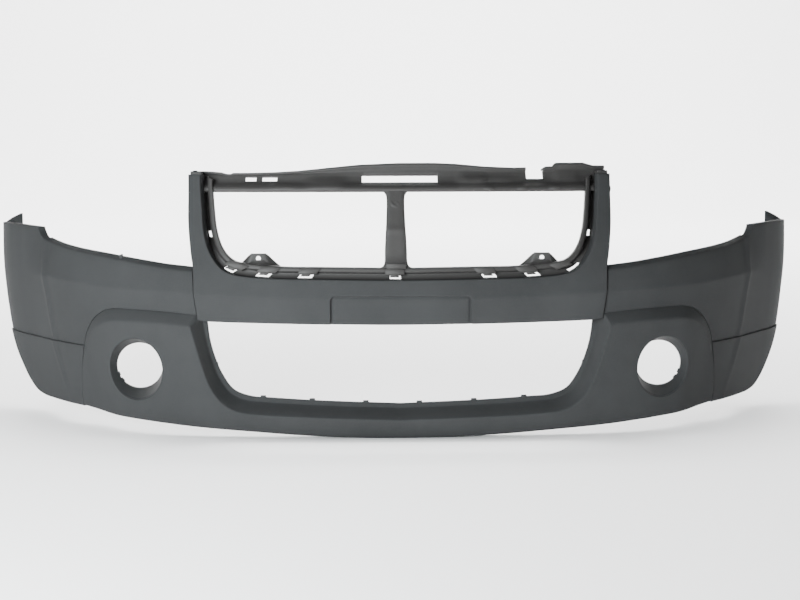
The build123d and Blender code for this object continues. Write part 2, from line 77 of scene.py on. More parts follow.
CHIN = [(0, 0), (111, 2), (194, 6), (295, 13), (398, 20), (505, 29),
        (620, 37), (657, 40)]
INTAKE_FRONT = [(413, 225), (404, 191), (392, 148), (376, 103), (355, 74),
                (325, 56), (280, 50), (168, 45), (0, 40)]
INTAKE_BACK = [(390, 240), (385, 195), (376, 160), (361, 124), (338, 93),
               (303, 80), (261, 77), (167, 72), (0, 66)]
ARCH = [(529, 409), (531, 380), (531, 300), (522, 262), (505, 226),
        (478, 180), (446, 138), (416, 102), (386, 66), (362, 47), (330, 39.5),
        (290, 38.5), (200, 39)]


def slopes(t, v):
    h = np.diff(t)
    d = np.diff(v) / h
    m = np.zeros(len(t))
    for i in range(1, len(t) - 1):
        if d[i - 1] * d[i] > 0:
            w1 = 2 * h[i] + h[i - 1]
            w2 = h[i] + 2 * h[i - 1]
            m[i] = (w1 + w2) / (w1 / d[i - 1] + w2 / d[i])
    m[0], m[-1] = d[0], d[-1]
    return m


def hermite(t, v, m, q):
    q = np.asarray(q, float)
    i = np.clip(np.searchsorted(t, q) - 1, 0, len(t) - 2)
    h = t[i + 1] - t[i]
    u = (q - t[i]) / h
    a = (2 * u**3 - 3 * u**2 + 1) * v[i] + (u**3 - 2 * u**2 + u) * h * m[i]
    return a + (-2 * u**3 + 3 * u**2) * v[i + 1] + (u**3 - u**2) * h * m[i + 1]


half = np.array(PLAN, float)
full = np.vstack([half[:0:-1] * [-1, 1], half])
chord = np.concatenate([[0], np.cumsum(np.hypot(*np.diff(full, axis=0).T))])
chord = chord - chord[len(half) - 1]
MX, MY = slopes(chord, full[:, 0]), slopes(chord, full[:, 1])
S_END = float(chord[-1])


def plan_xy(s):
    return hermite(chord, full[:, 0], MX, s), hermite(chord, full[:, 1], MY, s)


def plan_n(s):
    e = 6.0
    a, b = np.clip(s - e, -S_END, S_END), np.clip(s + e, -S_END, S_END)
    (x0, y0), (x1, y1) = plan_xy(a), plan_xy(b)
    n = np.hypot(x1 - x0, y1 - y0)
    return (y1 - y0) / n, -(x1 - x0) / n


def smooth01(t):
    t = np.clip(t, 0, 1)
    return t * t * (3 - 2 * t)


def crease_z(x):
    x = np.abs(x)
    return np.interp(x, [0, 150, 280, 409, 594, 730, 900],
                     [278, 279.5, 283.5, 289, 296, 305, 316])


def lean(x, z, w=1.6):
    u = z - crease_z(x)
    return (0.06 * u + 0.16 * np.sqrt(u * u + w * w) - 0.16 * w
            + 0.0006 * np.maximum(u, 0) ** 2)


def place(s, z, o):
    """Point o outwards of the plan curve at height z."""
    x, y = plan_xy(s)
    nx, ny = plan_n(s)
    return np.stack([x + o * nx, y + o * ny + SHIFT_Y,
                     np.broadcast_to(z, np.shape(x))], -1)


def inward(s):
    nx, ny = plan_n(s)
    return np.stack([-nx, -ny, np.zeros_like(nx)], -1)


class Skin:
    """A face given by how proud of the base surface it stands."""

    def __init__(self, proud, after=None):
        self.proud, self.after = proud, after

    def o(self, s, z):
        x = plan_xy(s)[0]
        return self.proud(s, z) - lean(x, z)

    def at(self, s, z):
        p = place(s, z, self.o(s, z))
        return self.after(s, z, p) if self.after else p

    def s_of(self, x, z):
        x, z = np.asarray(x, float), np.asarray(z, float)
        lo, hi = np.full(x.shape, -S_END), np.full(x.shape, S_END)
        for _ in range(45):
            mid = (lo + hi) / 2
            less = place(mid, z, self.o(mid, z))[..., 0] < x
            lo, hi = np.where(less, mid, lo), np.where(less, hi, mid)
        return (lo + hi) / 2

    def s_of_y(self, y, z):
        y, z = np.asarray(y, float) + SHIFT_Y, np.asarray(z, float)
        lo, hi = np.zeros(y.shape), np.full(y.shape, S_END)
        for _ in range(45):
            mid = (lo + hi) / 2
            less = place(mid, z, self.o(mid, z))[..., 1] < y
            lo, hi = np.where(less, mid, lo), np.where(less, hi, mid)
        return (lo + hi) / 2


# ------------------------------------------------------------------ outlines
def curve(pts, step=4.0):
    """Smooth curve through points, resampled evenly, both ends kept."""
    p = np.array(pts, float)
    if len(p) == 2:
        n = max(1, int(round(np.hypot(*(p[1] - p[0])) / step)))
        return p[0] + (p[1] - p[0]) * np.linspace(0, 1, n + 1)[:, None]
    ext = np.vstack([2 * p[0] - p[1], p, 2 * p[-1] - p[-2]])
    t = np.concatenate([[0], np.cumsum(
        np.linalg.norm(np.diff(ext, axis=0), axis=1) ** 0.5)])
    out = []
    for i in range(1, len(ext) - 2):
        q = np.linspace(t[i], t[i + 1], 24, endpoint=False)[:, None]
        p0, p1, p2, p3 = ext[i - 1:i + 3]
        t0, t1, t2, t3 = t[i - 1:i + 3]
        a1 = (t1 - q) / (t1 - t0) * p0 + (q - t0) / (t1 - t0) * p1
        a2 = (t2 - q) / (t2 - t1) * p1 + (q - t1) / (t2 - t1) * p2
        a3 = (t3 - q) / (t3 - t2) * p2 + (q - t2) / (t3 - t2) * p3
        b1 = (t2 - q) / (t2 - t0) * a1 + (q - t0) / (t2 - t0) * a2
        b2 = (t3 - q) / (t3 - t1) * a2 + (q - t1) / (t3 - t1) * a3
        out.append((t2 - q) / (t2 - t1) * b1 + (q - t1) / (t2 - t1) * b2)
    out = np.vstack(out + [p[-1:]])
    d = np.concatenate([[0], np.cumsum(np.hypot(*np.diff(out, axis=0).T))])
    n = max(2, int(round(d[-1] / step)))
    g = np.linspace(0, d[-1], n + 1)
    return np.stack([np.interp(g, d, out[:, 0]), np.interp(g, d, out[:, 1])], 1)


def mirrored(pts):
    return [(-x, z) for x, z in reversed(pts)]


def join(*runs):
    """Closed outline from runs that share their ends; returns points, tags."""
    pts, tags = [], []
    for k, r in enumerate(runs):
        pts.append(r[:-1])
        tags += [k] * (len(r) - 1)
    return np.vstack(pts), np.array(tags)


def inset(uv, r):
    """Move a closed outline to its left by r, with mitred corners."""
    a = uv - np.roll(uv, 1, 0)
    b = np.roll(uv, -1, 0) - uv
    a = a / np.maximum(np.linalg.norm(a, axis=1), 1e-9)[:, None]
    b = b / np.maximum(np.linalg.norm(b, axis=1), 1e-9)[:, None]
    na = np.stack([-a[:, 1], a[:, 0]], 1)
    nb = np.stack([-b[:, 1], b[:, 0]], 1)
    m = na + nb
    m = m / np.maximum(np.linalg.norm(m, axis=1), 1e-9)[:, None]
    c = np.maximum((m * na).sum(1), 0.5)
    return uv + m * (r / c)[:, None] if np.ndim(r) else uv + m * (r / c)[:, None]


def inside(poly, q):
    x, y = q[:, 0], q[:, 1]
    res = np.zeros(len(q), bool)
    x0, y0 = poly[:, 0], poly[:, 1]
    x1, y1 = np.roll(x0, -1), np.roll(y0, -1)
    for i in range(len(poly)):
        if y0[i] == y1[i]:
            continue
        hit = ((y0[i] > y) != (y1[i] > y)) & (
            x < (x1[i] - x0[i]) * (y - y0[i]) / (y1[i] - y0[i]) + x0[i])
        res ^= hit
    return res


def turn(uv, ccw=True):
    a = (uv[:, 0] * np.roll(uv[:, 1], -1) - np.roll(uv[:, 0], -1) * uv[:, 1]).sum()
    return (a > 0) == ccw


# ------------------------------------------------------------------ mesher
class Builder:
    def __init__(self):
        self.v, self.f, self.n = [], [], 0

    def add(self, pts):
        pts = np.asarray(pts, float).reshape(-1, 3)
        i = self.n
        self.v.append(pts)
        self.n += len(pts)
        return np.arange(i, i + len(pts))

    def strip(self, rings, closed=True, flip=False):
        """Quads between successive rings of equal length."""
        n = len(rings[0])
        for a, b in zip(rings, rings[1:]):
            for i in range(n if closed else n - 1):
                j = (i + 1) % n
                q = (b[i], b[j], a[j], a[i])
                self.f.append(tuple(int(k) for k in (q[::-1] if flip else q)))

    def mesh(self, name, mirror=False):
        v = np.vstack(self.v) / 1000.0
        f = self.f
        if mirror:
            v = v * [-1, 1, 1]
            f = [t[::-1] for t in f]
        me = bpy.data.meshes.new(name)
        me.from_pydata([tuple(p) for p in v], [], f)
        me.validate()
        me.polygons.foreach_set("use_smooth", [True] * len(me.polygons))
        me.update()
        ob = bpy.data.objects.new(name, me)
        bpy.context.scene.collection.objects.link(ob)
        return ob


def panel(b, at, loops, grid=5.0, lines=(), keep=None, rows=None):
    """Triangulated face with a rounded edge and a skirt on each loop.

    loops: dicts of uv (outer first), r (edge radius), skirt (N,3) direction
    after the edge, tail: list of (N,3) further points or None.
    """
    pts, edges, ring_ids, polys = [], [], [], []
    count = 0
    for k, lp in enumerate(loops):
        uv = lp["uv"]
        if turn(uv) != (k == 0):
            for key in ("uv", "skirt", "r"):
                if key in lp and np.ndim(lp[key]):
                    lp[key] = lp[key][::-1]
            lp["tail"] = [t[::-1] for t in lp.get("tail", [])]
            uv = lp["uv"]
        r = lp["r"]
        inner = inset(uv, r if np.ndim(r) else np.full(len(uv), float(r)))
        polys.append(inner)
        ids = np.arange(count, count + len(inner))
        ring_ids.append(ids)
        edges += [(int(ids[i]), int(ids[(i + 1) % len(ids)]))
                  for i in range(len(ids))]
        pts.append(inner)
        count += len(inner)
    for ln in lines:
        ln = np.asarray(ln)
        ids = np.arange(count, count + len(ln))
        edges += [(int(p), int(q)) for p, q in zip(ids, ids[1:])]
        pts.append(ln)
        count += len(ln)
    fixed = np.vstack(pts)
    lo, hi = polys[0].min(0), polys[0].max(0)
    us = np.arange(lo[0] + grid / 2, hi[0], grid)
    vs = np.arange(lo[1] + grid / 2, hi[1], grid) if rows is None else rows
    gu, gv = np.meshgrid(us, vs)
    g = np.stack([gu.ravel(), gv.ravel()], 1)
    ok = inside(polys[0], g)
    for p in polys[1:]:
        ok &= ~inside(p, g)
    g = g[ok]
    tree = KDTree(len(fixed))
    for i, p in enumerate(fixed):
        tree.insert((p[0], p[1], 0), i)
    tree.balance()
    g = np.array([p for p in g
                  if tree.find((p[0], p[1], 0))[2] > grid * 0.55]).reshape(-1, 2)
    allp = np.vstack([fixed, g])
    res = delaunay_2d_cdt([Vector((float(p[0]), float(p[1]))) for p in allp],
                          edges, [], 0, 1e-5, True)
    vo = np.array([tuple(v) for v in res[0]])
    tri = np.array([list(t) for t in res[2]], int)
    cen = vo[tri].mean(1)
    ok = inside(polys[0], cen)
    for p in polys[1:]:
        ok &= ~inside(p, cen)
    if keep is not None:
        ok &= keep(cen)
    tri = tri[ok]
    x = vo[tri]
    area = ((x[:, 1, 0] - x[:, 0, 0]) * (x[:, 2, 1] - x[:, 0, 1]) -
            (x[:, 2, 0] - x[:, 0, 0]) * (x[:, 1, 1] - x[:, 0, 1]))
    tri[area < 0] = tri[area < 0][:, ::-1]
    base = b.add(at(vo[:, 0], vo[:, 1]))
    b.f += [tuple(int(base[i]) for i in t) for t in tri]
    back = {}
    for new, olds in enumerate(res[3]):
        for o in olds:
            back[o] = new
    for k, lp in enumerate(loops):
        uv, r, d = lp["uv"], lp["r"], lp["skirt"]
        rr = np.asarray(r if np.ndim(r) else np.full(len(uv), float(r)))[:, None]
        a3 = at(polys[k][:, 0], polys[k][:, 1])
        e3 = at(uv[:, 0], uv[:, 1])
        b3 = e3 + d * rr
        rings = [np.array([base[back[int(i)]] for i in ring_ids[k]])]
        for t in (0.2, 0.4, 0.6, 0.8, 1.0):
            rings.append(b.add((1 - t) ** 2 * a3 + 2 * t * (1 - t) * e3 +
                               t * t * b3))
        for tail in lp.get("tail", []):
            rings.append(b.add(tail))
        b.strip(rings)
    return b


def thick(ob, mm=2.4):
    m = ob.modifiers.new("wall", "SOLIDIFY")
    m.thickness = mm / 1000
    m.offset = -1
    m.use_even_offset = False
    m.use_quality_normals = True
    return ob


# ------------------------------------------------------------------ materials
def plastic(name, base, rough=0.70, grain=0.00085, bump=0.28, mottle=0.12,
            spec=0.06, tint=(0, 0, 0)):
    m = bpy.data.materials.new(name)
    m.use_nodes = True
    nt = m.node_tree
    nt.nodes.clear()
    out = nt.nodes.new("ShaderNodeOutputMaterial")
    sh = nt.nodes.new("ShaderNodeBsdfPrincipled")
    nt.links.new(sh.outputs[0], out.inputs[0])
    co = nt.nodes.new("ShaderNodeTexCoord")

    def noise(scale, detail=2.0, rough_=0.5):
        n = nt.nodes.new("ShaderNodeTexNoise")
        n.inputs["Scale"].default_value = scale
        n.inputs["Detail"].default_value = detail
        n.inputs["Roughness"].default_value = rough_
        nt.links.new(co.outputs["Object"], n.inputs["Vector"])
        return n

    def mix(fac, a, b_):
        x = nt.nodes.new("ShaderNodeMix")
        x.data_type = "RGBA"
        nt.links.new(fac, x.inputs["Factor"])
        for sock, val in ((x.inputs[6], a), (x.inputs[7], b_)):
            if isinstance(val, tuple):
                sock.default_value = val + (1,)
            else:
                nt.links.new(val, sock)
        return x.outputs[2]

    def ramp(src, lo, hi, a=0.0, b_=1.0):
        r = nt.nodes.new("ShaderNodeMapRange")
        r.inputs["From Min"].default_value = lo
        r.inputs["From Max"].default_value = hi
        r.inputs["To Min"].default_value = a
        r.inputs["To Max"].default_value = b_
        nt.links.new(src, r.inputs["Value"])
        return r.outputs[0]

    dark = tuple(c * (1 - mottle) for c in base)
    light = tuple(min(1, c * (1 + mottle)) for c in base)
    big = noise(5.5, 4, 0.6)
    fine = noise(1 / grain * 0.55, 2, 0.55)
    col = mix(ramp(big.outputs["Fac"], 0.32, 0.68), dark, light)
    warm = tuple(min(1, c * k) for c, k in zip(base, (1.12, 1.03, 0.90)))
    dust = noise(38, 6, 0.72)
    col = mix(ramp(dust.outputs["Fac"], 0.62, 0.82, 0, 0.35), col, warm)
    speck_and_edge_highlight = mix(ramp(fine.outputs["Fac"], 0.35, 0.65, 0, 0.22), col,
                tuple(min(1, c * 1.35) for c in base))
    # painted edge highlight: a little lighter where the moulding turns sharply, standing in for
    # light caught along the edges
    geo = nt.nodes.new("ShaderNodeNewGeometry")
    edge = ramp(geo.outputs["Pointiness"], 0.53, 0.60, 0, 0.35)
    speck_and_edge_highlight = mix(edge, speck_and_edge_highlight, tuple(min(1, c * 1.7) for c in base))
    # base colour carries the grain specks and the painted edge highlight
    nt.links.new(speck_and_edge_highlight, sh.inputs["Base Color"])
    nt.links.new(ramp(big.outputs["Fac"], 0.3, 0.7, rough - 0.05, rough + 0.06),
                 sh.inputs["Roughness"])
    sh.inputs["Specular IOR Level"].default_value = spec
    vor = nt.nodes.new("ShaderNodeTexVoronoi")
    vor.inputs["Scale"].default_value = 1 / grain * 0.5
    nt.links.new(co.outputs["Object"], vor.inputs["Vector"])
    bp = nt.nodes.new("ShaderNodeBump")
    bp.inputs["Strength"].default_value = bump
    bp.inputs["Distance"].default_value = 0.00012
    nt.links.new(vor.outputs["Distance"], bp.inputs["Height"])
    bp2 = nt.nodes.new("ShaderNodeBump")
    bp2.inputs["Strength"].default_value = 0.12
    bp2.inputs["Distance"].default_value = 0.0006
    nt.links.new(noise(55, 3, 0.5).outputs["Fac"], bp2.inputs["Height"])
    nt.links.new(bp.outputs[0], bp2.inputs["Normal"])
    nt.links.new(bp2.outputs[0], sh.inputs["Normal"])
    return m


COVER = plastic("cover_plastic", (0.0350, 0.0360, 0.0369))
SLEEVE = plastic("sleeve_plastic", (0.032, 0.033, 0.034), rough=0.58)
CARRIER = plastic("carrier_plastic", (0.0375, 0.0360, 0.0352), rough=0.52,
                  bump=0.12, spec=0.24)
RIVET = plastic("rivet_nylon", (0.014, 0.014, 0.015), rough=0.40, bump=0.10,
                mottle=0.2)


def finish_piece(ob, nodes, mat, wall=2.4):
    if wall:
        thick(ob, wall)
    ob.data.materials.append(mat)
    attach(ob, "cover")
    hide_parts(*nodes)
    return ob


# ------------------------------------------------------------------ grille surround
def plate_sd(x, z):
    """Signed distance to the rounded top corners of the plate recess."""
    qx = np.abs(x) - (138 - 10)
    qz = z - (286 - 10)
    return (np.hypot(np.maximum(qx, 0), np.maximum(qz, 0)) +
            np.minimum(np.maximum(qx, qz), 0) - 10)


def plate_flat(s, z, p):
    sd = plate_sd(p[..., 0], z)
    w = smooth01((0.6 - sd) / 1.2)
    y = 1.0 + 0.1 * (286 - z) + SHIFT_Y + 2.8 * np.exp(-((sd + 2.6) / 1.5) ** 2)
    p = p.copy()
    p[..., 1] = p[..., 1] * (1 - w) + y * w
    return p


centre = Skin(lambda s, z: np.full(np.shape(s), 5.0), plate_flat)


def u_loop(skin, runs, step):
    pts, tags = join(*[curve(r, step) for r in runs])
    return np.stack([skin.s_of(pts[:, 0], pts[:, 1]), pts[:, 1]], 1), tags


runs = [POST_OUTER[::-1][:1] + POST_OUTER[::-1][1:],
        [(424, 521), (399, 521)],
        FACE_INNER + mirrored(FACE_INNER)[1:],
        [(-399, 521), (-424, 521)],
        mirrored(POST_OUTER[::-1]),
        [(-x, z) for x, z in CENTRE_LOWER] + list(reversed(CENTRE_LOWER))[1:]]
uv, tags = u_loop(centre, runs, 4.0)
skirt = inward(uv[:, 0])
r = np.where(tags == 2, 2.6, 2.0)
e3 = centre.at(uv[:, 0], uv[:, 1])
depth = np.where(tags == 2, 24.0, 17.0)[:, None]
tail = [e3 + skirt * (r[:, None] + (depth - r[:, None]) * k)
        for k in (0.33, 0.66, 1.0)]
b = Builder()
lines = []
for sd in (-4.2, -2.6, -0.8, 0.0, 0.8, 2.2):
    a = np.radians(np.arange(0, 91, 6))
    arc = np.stack([128 + (10 + sd) * np.cos(a), 276 + (10 + sd) * np.sin(a)], 1)
    right = np.vstack([[(138 + sd, z) for z in np.arange(234, 276, 3.0)], arc])
    top = [(x, 286 + sd) for x in np.arange(124, -125, -4.0)]
    whole = np.vstack([right, top, right[::-1] * [-1, 1]])
    lines.append(np.stack([centre.s_of(whole[:, 0], whole[:, 1]),
                           whole[:, 1]], 1))
for off in (-4.0, -1.5, 1.5, 4.0):
    for sx in (-1, 1):
        xx = np.arange(147, 397, 4.0)
        zz = crease_z(xx) + off
        lines.append(np.stack([centre.s_of(sx * xx, zz), zz], 1))
panel(b, centre.at, [dict(uv=uv, r=r, skirt=skirt, tail=tail)], 5.0, lines)
finish_piece(b.mesh("grille_surround"), ["centre_panel"], COVER)


# ------------------------------------------------------------------ corner covers
RIDGE = np.array([(46, 706), (95, 722), (155, 738), (205, 744), (268, 748),
                  (325, 755), (386, 767), (420, 775)], float)


def flare_set(x, z):
    """The flare stands upright and turns over its crease more softly."""
    u = z - crease_z(x)
    soft = -0.035 * u + 0.065 * np.sqrt(u * u + 1600) - 2.6
    return smooth01((np.abs(x) - 742) / 70) * (lean(x, z) - soft)


def bead(t):
    """A narrow rounded line where the flare begins."""
    return 2.4 * np.exp(-(t / 5.5) ** 2) - 2.6 * (
        1 - smooth01((t + 4) / 9)) * np.exp(-np.maximum(-t, 0) / 80)



def wing_proud(s, z):
    x = plan_xy(s)[0]
    xr = np.interp(z, RIDGE[:, 0], RIDGE[:, 1])
    fade = np.interp(z, [40, 110, 180], [0.25, 0.7, 1.0])
    t = x - xr
    return flare_set(x, z) + fade * bead(t)


wing = Skin(wing_proud)


def top_drop(x):
    return np.interp(x, [409, 600, 750], [9.0, 6.5, 3.0])


face_top = [(x, z - float(top_drop(x))) for x, z in WING_TOP]
seam = [(401.6, 246.6), (406.6, 288), (409.6, 332)]
arch_up = [p for p in ARCH if p[1] >= 170]
arch_s = curve(arch_up + [(472, 170.4)], 4.0)
flare_top = [(772, 407.5), (800, 409.5), (850, 411.5)]
notch = [(757, 384.2), (763.5, 389.5), (768, 396.5), (771, 403), (772, 407.5)]
lower = [(651.6, 170.5)] + [(x + 0.5, z) for x, z in WING_LOWER[::-1][1:]]
lower[-1] = (401.6, 246.6)

right_runs = [curve(seam, 4), curve([(409.6, 332)] + face_top[1:-1] +
                                    [(757, 384.2)], 4),
              curve(notch, 2.0), curve(flare_top, 4)]
pts = np.vstack([q[:-1] for q in right_runs])
tg = np.concatenate([[k] * (len(q) - 1) for k, q in enumerate(right_runs)])
uv1 = np.stack([wing.s_of(pts[:, 0], pts[:, 1]), pts[:, 1]], 1)
uv_arch = np.stack([wing.s_of_y(arch_s[:, 0], arch_s[:, 1]), arch_s[:, 1]], 1)
a0 = np.array([float(wing.s_of(850.0, 411.5)), 411.5])
a1 = uv_arch[0]
n = 14
top_run = a0 + (a1 - a0) * np.linspace(0, 1, n)[:, None]
end = uv_arch[-1]
p_step = np.array([float(wing.s_of(651.6, 170.5)), 170.5])
n2 = 50
step_run = end + (p_step - end) * np.linspace(0, 1, n2)[:, None]
low = curve(lower, 4)
uv_low = np.stack([wing.s_of(low[:, 0], low[:, 1]), low[:, 1]], 1)
uv = np.vstack([uv1, top_run[:-1], uv_arch[:-1], step_run[:-1], uv_low[:-1]])
tags = np.concatenate([tg, [3] * (n - 1), [5] * (len(uv_arch) - 1),
                       [6] * (n2 - 1), [7] * (len(low) - 1)])
skirt = inward(uv[:, 0])
up = np.array([0, 0, 1.0])
e3 = wing.at(uv[:, 0], uv[:, 1])
rise = np.where(tags == 1, top_drop(e3[:, 0]), 0.0)
skirt = np.where((tags == 1)[:, None],
                 skirt * 0.85 + up * (rise / 18)[:, None], skirt)
skirt = skirt / np.linalg.norm(skirt, axis=1)[:, None]
r = np.where(tags == 1, 3.5, np.where(tags == 5, 3.5, 2.2))
r = np.where(tags == 2, 1.6, np.where(tags == 7, 1.1, r))
r = np.where(tags == 6, 0.45, r)
width = np.where(tags == 1, 17.0, np.where(tags == 5, 22.0, 16.0))
tail = [e3 + skirt * (r + (width - r) * k)[:, None] for k in (0.33, 0.66, 1.0)]
b = Builder()
ridge_lines = []
for off in (-6.0, -3.5, -1.0, 1.5, 4.0, 6.5):
    zz = np.arange(180, 398, 4.0)
    xx = np.interp(zz, RIDGE[:, 0], RIDGE[:, 1]) + off
    ridge_lines.append(np.stack([chord_s for chord_s in [
        np.array([float(np.interp(x, full[:, 0], chord)) for x in xx]), zz]], 1))
crease_lines = []
for off in (-4, -1.5, 1.5, 4):
    xx = np.arange(418, 736, 4.5)
    crease_lines.append(np.stack([
        np.array([float(np.interp(x, full[:, 0], chord)) for x in xx]),
        crease_z(xx) + off], 1))
panel(b, wing.at, [dict(uv=uv, r=r, skirt=skirt, tail=tail)], 5.0,
      ridge_lines + crease_lines)
# rear return of the flare: an upright tab that rises above the flare's top
ta = wing.at(np.array([uv_arch[0][0]]), np.array([409.0]))[0]
e0 = ta + np.array([-2.0, -1.0, -1.0])
tabs = [e0 + np.array(q) for q in
        ((0, 0, -22), (0, 0, 0), (-14, 3, 10), (-34, 5, 20), (-38, 5, 20),
         (-38, 5, -4), (-30, 4, -22))]
front = b.add(np.array(tabs) + [0, -1.2, 0])
rear = b.add(np.array(tabs) + [0, 1.2, 0])
b.f.append(tuple(int(i) for i in front))
b.f.append(tuple(int(i) for i in rear[::-1]))
b.strip([front, rear])
for side, mir in (("right", False), ("left", True)):
    ob = b.mesh(side + "_corner_skin", mir)
    finish_piece(ob, [side + "_corner_cover"], COVER)

# ------------------------------------------------------------------ lower corners
def corner_proud(s, z):
    x = plan_xy(s)[0]
    xr = np.interp(z, RIDGE[:, 0], RIDGE[:, 1])
    fade = np.interp(z, [40, 110, 180], [0.1, 0.6, 1.0])
    t = x - xr
    return 3.0 + flare_set(x, z) + fade * bead(t)


corner = Skin(corner_proud)
arch_low = [p for p in ARCH if p[1] < 170]
arch_c = curve([(471, 170.0)] + arch_low[:-1], 4.0)
uv_arch = np.stack([corner.s_of_y(arch_c[:, 0], arch_c[:, 1]), arch_c[:, 1]], 1)
p_in = np.array([float(corner.s_of(659.6, 39.5)), 39.5])
last = uv_arch[-1]
n = 34
bottom = last + (p_in - last) * np.linspace(0, 1, n)[:, None]
side_pts = curve([(659.6, 39.5), (661.4, 65), (658.4, 122), (652.4, 170.0)], 4)
uv_side = np.stack([corner.s_of(side_pts[:, 0], side_pts[:, 1]),
                    side_pts[:, 1]], 1)
n3 = 50
topline = uv_side[-1] + (uv_arch[0] - uv_side[-1]) * \
    np.linspace(0, 1, n3)[:, None]
uv = np.vstack([uv_arch[:-1], bottom[:-1], uv_side[:-1], topline[:-1]])
tags = np.concatenate([[0] * (len(uv_arch) - 1), [1] * (n - 1),
                       [2] * (len(uv_side) - 1), [3] * (n3 - 1)])
skirt = inward(uv[:, 0])
e3 = corner.at(uv[:, 0], uv[:, 1])
r = np.where(tags <= 1, 3.5, np.where(tags == 3, 3.0, 1.1))
width = np.where(tags == 0, 22.0, 16.0)
tail = [e3 + skirt * (r + (width - r) * k)[:, None] for k in (0.33, 0.66, 1.0)]
b = Builder()
panel(b, corner.at, [dict(uv=uv, r=r, skirt=skirt, tail=tail)], 5.0)
for side, mir in (("right", False), ("left", True)):
    ob = b.mesh(side + "_lower_skin", mir)
    finish_piece(ob, [side + "_lower_corner"], COVER)


# ------------------------------------------------------------------ lower valance
def pod_proud(s, z):
    x = np.abs(plan_xy(s)[0])
    return 20 - 16 * smooth01((x - 565) / 90) - 0.004 * np.maximum(60 - z, 0) ** 2


valance = Skin(pod_proud)
base_skin = Skin(lambda s, z: np.zeros(np.shape(s)))
top_r = curve(POD_TOP, 4)
end_r = curve([(643, 168), (651, 150), (657.6, 122), (660.6, 65), (658.8, 40.5)], 4)
chin_r = curve(CHIN[::-1][:1] and [(658.8, 40.5)] + CHIN[::-1][1:] +
               [(-x, z) for x, z in CHIN[1:-1]] + [(-658.8, 40.5)], 5)
end_l = np.array([(-x, z) for x, z in end_r[::-1]])
top_l = np.array([(-x, z) for x, z in top_r[::-1]])
int_half = curve(INTAKE_FRONT, 4)
intake_run = np.vstack([int_half * [-1, 1], int_half[::-1][1:]])
pts, tags = join(top_r, end_r, chin_r, end_l, top_l, intake_run)
uv = np.stack([valance.s_of(pts[:, 0], pts[:, 1]), pts[:, 1]], 1)
e3 = valance.at(uv[:, 0], uv[:, 1])
N = len(uv)


def matched(front, back, q):
    """Point on the back outline at the same share of length as q on front."""
    f, k = curve(front, 2), curve(back, 2)
    df = np.concatenate([[0], np.cumsum(np.hypot(*np.diff(f, axis=0).T))])
    dk = np.concatenate([[0], np.cumsum(np.hypot(*np.diff(k, axis=0).T))])
    out = []
    for x, z in q:
        i = int(np.argmin((f[:, 0] - abs(x)) ** 2 + (f[:, 1] - z) ** 2))
        t = df[i] / df[-1] * dk[-1]
        out.append((math.copysign(1, x) * np.interp(t, dk, k[:, 0]),
                    np.interp(t, dk, k[:, 1])))
    return np.array(out)


target = np.zeros((N, 3))
second = np.zeros((N, 3))
inn = inward(uv[:, 0])
m_top = (tags == 0) | (tags == 4)
low_line = [(399, 247)] + WING_LOWER[1:-1] + [(651.4, 170)]
bt = matched(POD_TOP, low_line, pts[m_top])
sb = base_skin.s_of(bt[:, 0], bt[:, 1])
target[m_top] = base_skin.at(sb, bt[:, 1]) + inward(sb) * 0.8
second[m_top] = target[m_top] + inward(sb) * 14
m_end = (tags == 1) | (tags == 3)
# the pod's outer bevel narrows down to the lower skin's edge
ze = pts[m_end][:, 1]
xe = np.interp(ze, side_pts[:, 1], side_pts[:, 0]) - 0.7
sc = corner.s_of(xe, ze)
fill = (corner.at(sc, ze) + inward(sc) * 1.2) * \
    np.stack([np.sign(pts[m_end][:, 0]), np.ones(len(ze)), np.ones(len(ze))], 1)
wz = smooth01((ze - 116) / 14)[:, None]
target[m_end] = (e3[m_end] + inn[m_end] * 9) * (1 - wz) + fill * wz
second[m_end] = target[m_end] + inn[m_end] * 9
m_chin = tags == 2
back_dir = inn[m_chin] + np.array([0, 0, 0.10])
target[m_chin] = e3[m_chin] + back_dir * 12
second[m_chin] = e3[m_chin] + back_dir * 24
m_int = tags == 5
bi = matched(INTAKE_FRONT, INTAKE_BACK, pts[m_int])
pi = pts[m_int]
ledge = pi + (bi - pi) * 0.66
sl = base_skin.s_of(ledge[:, 0], ledge[:, 1])
l3 = base_skin.at(sl, ledge[:, 1]) + inward(sl) * 24
sk = base_skin.s_of(bi[:, 0], bi[:, 1])
k3 = base_skin.at(sk, bi[:, 1]) + inward(sk) * 27
target[m_int], second[m_int] = l3, k3
skirt = target - e3
skirt /= np.maximum(np.linalg.norm(skirt, axis=1), 1e-6)[:, None]
r = np.where(m_int, 3.2, np.where(m_top, 4.5, np.where(m_chin, 5.0, 1.4)))
b3 = e3 + skirt * r[:, None]
close = target - (target - b3) * 0.06
bend = second - target
bend /= np.maximum(np.linalg.norm(bend, axis=1), 1e-6)[:, None]
after = target + bend * 1.5
third = second + inn * np.where(m_int, 6.0, 4.0)[:, None]
tail = [b3 + (close - b3) * 0.5, close, target * 0.5 + (close + after) * 0.25,
        after, after + (second - after) * 0.5, second - bend * 0.8,
        second + inn * 0.8, third]
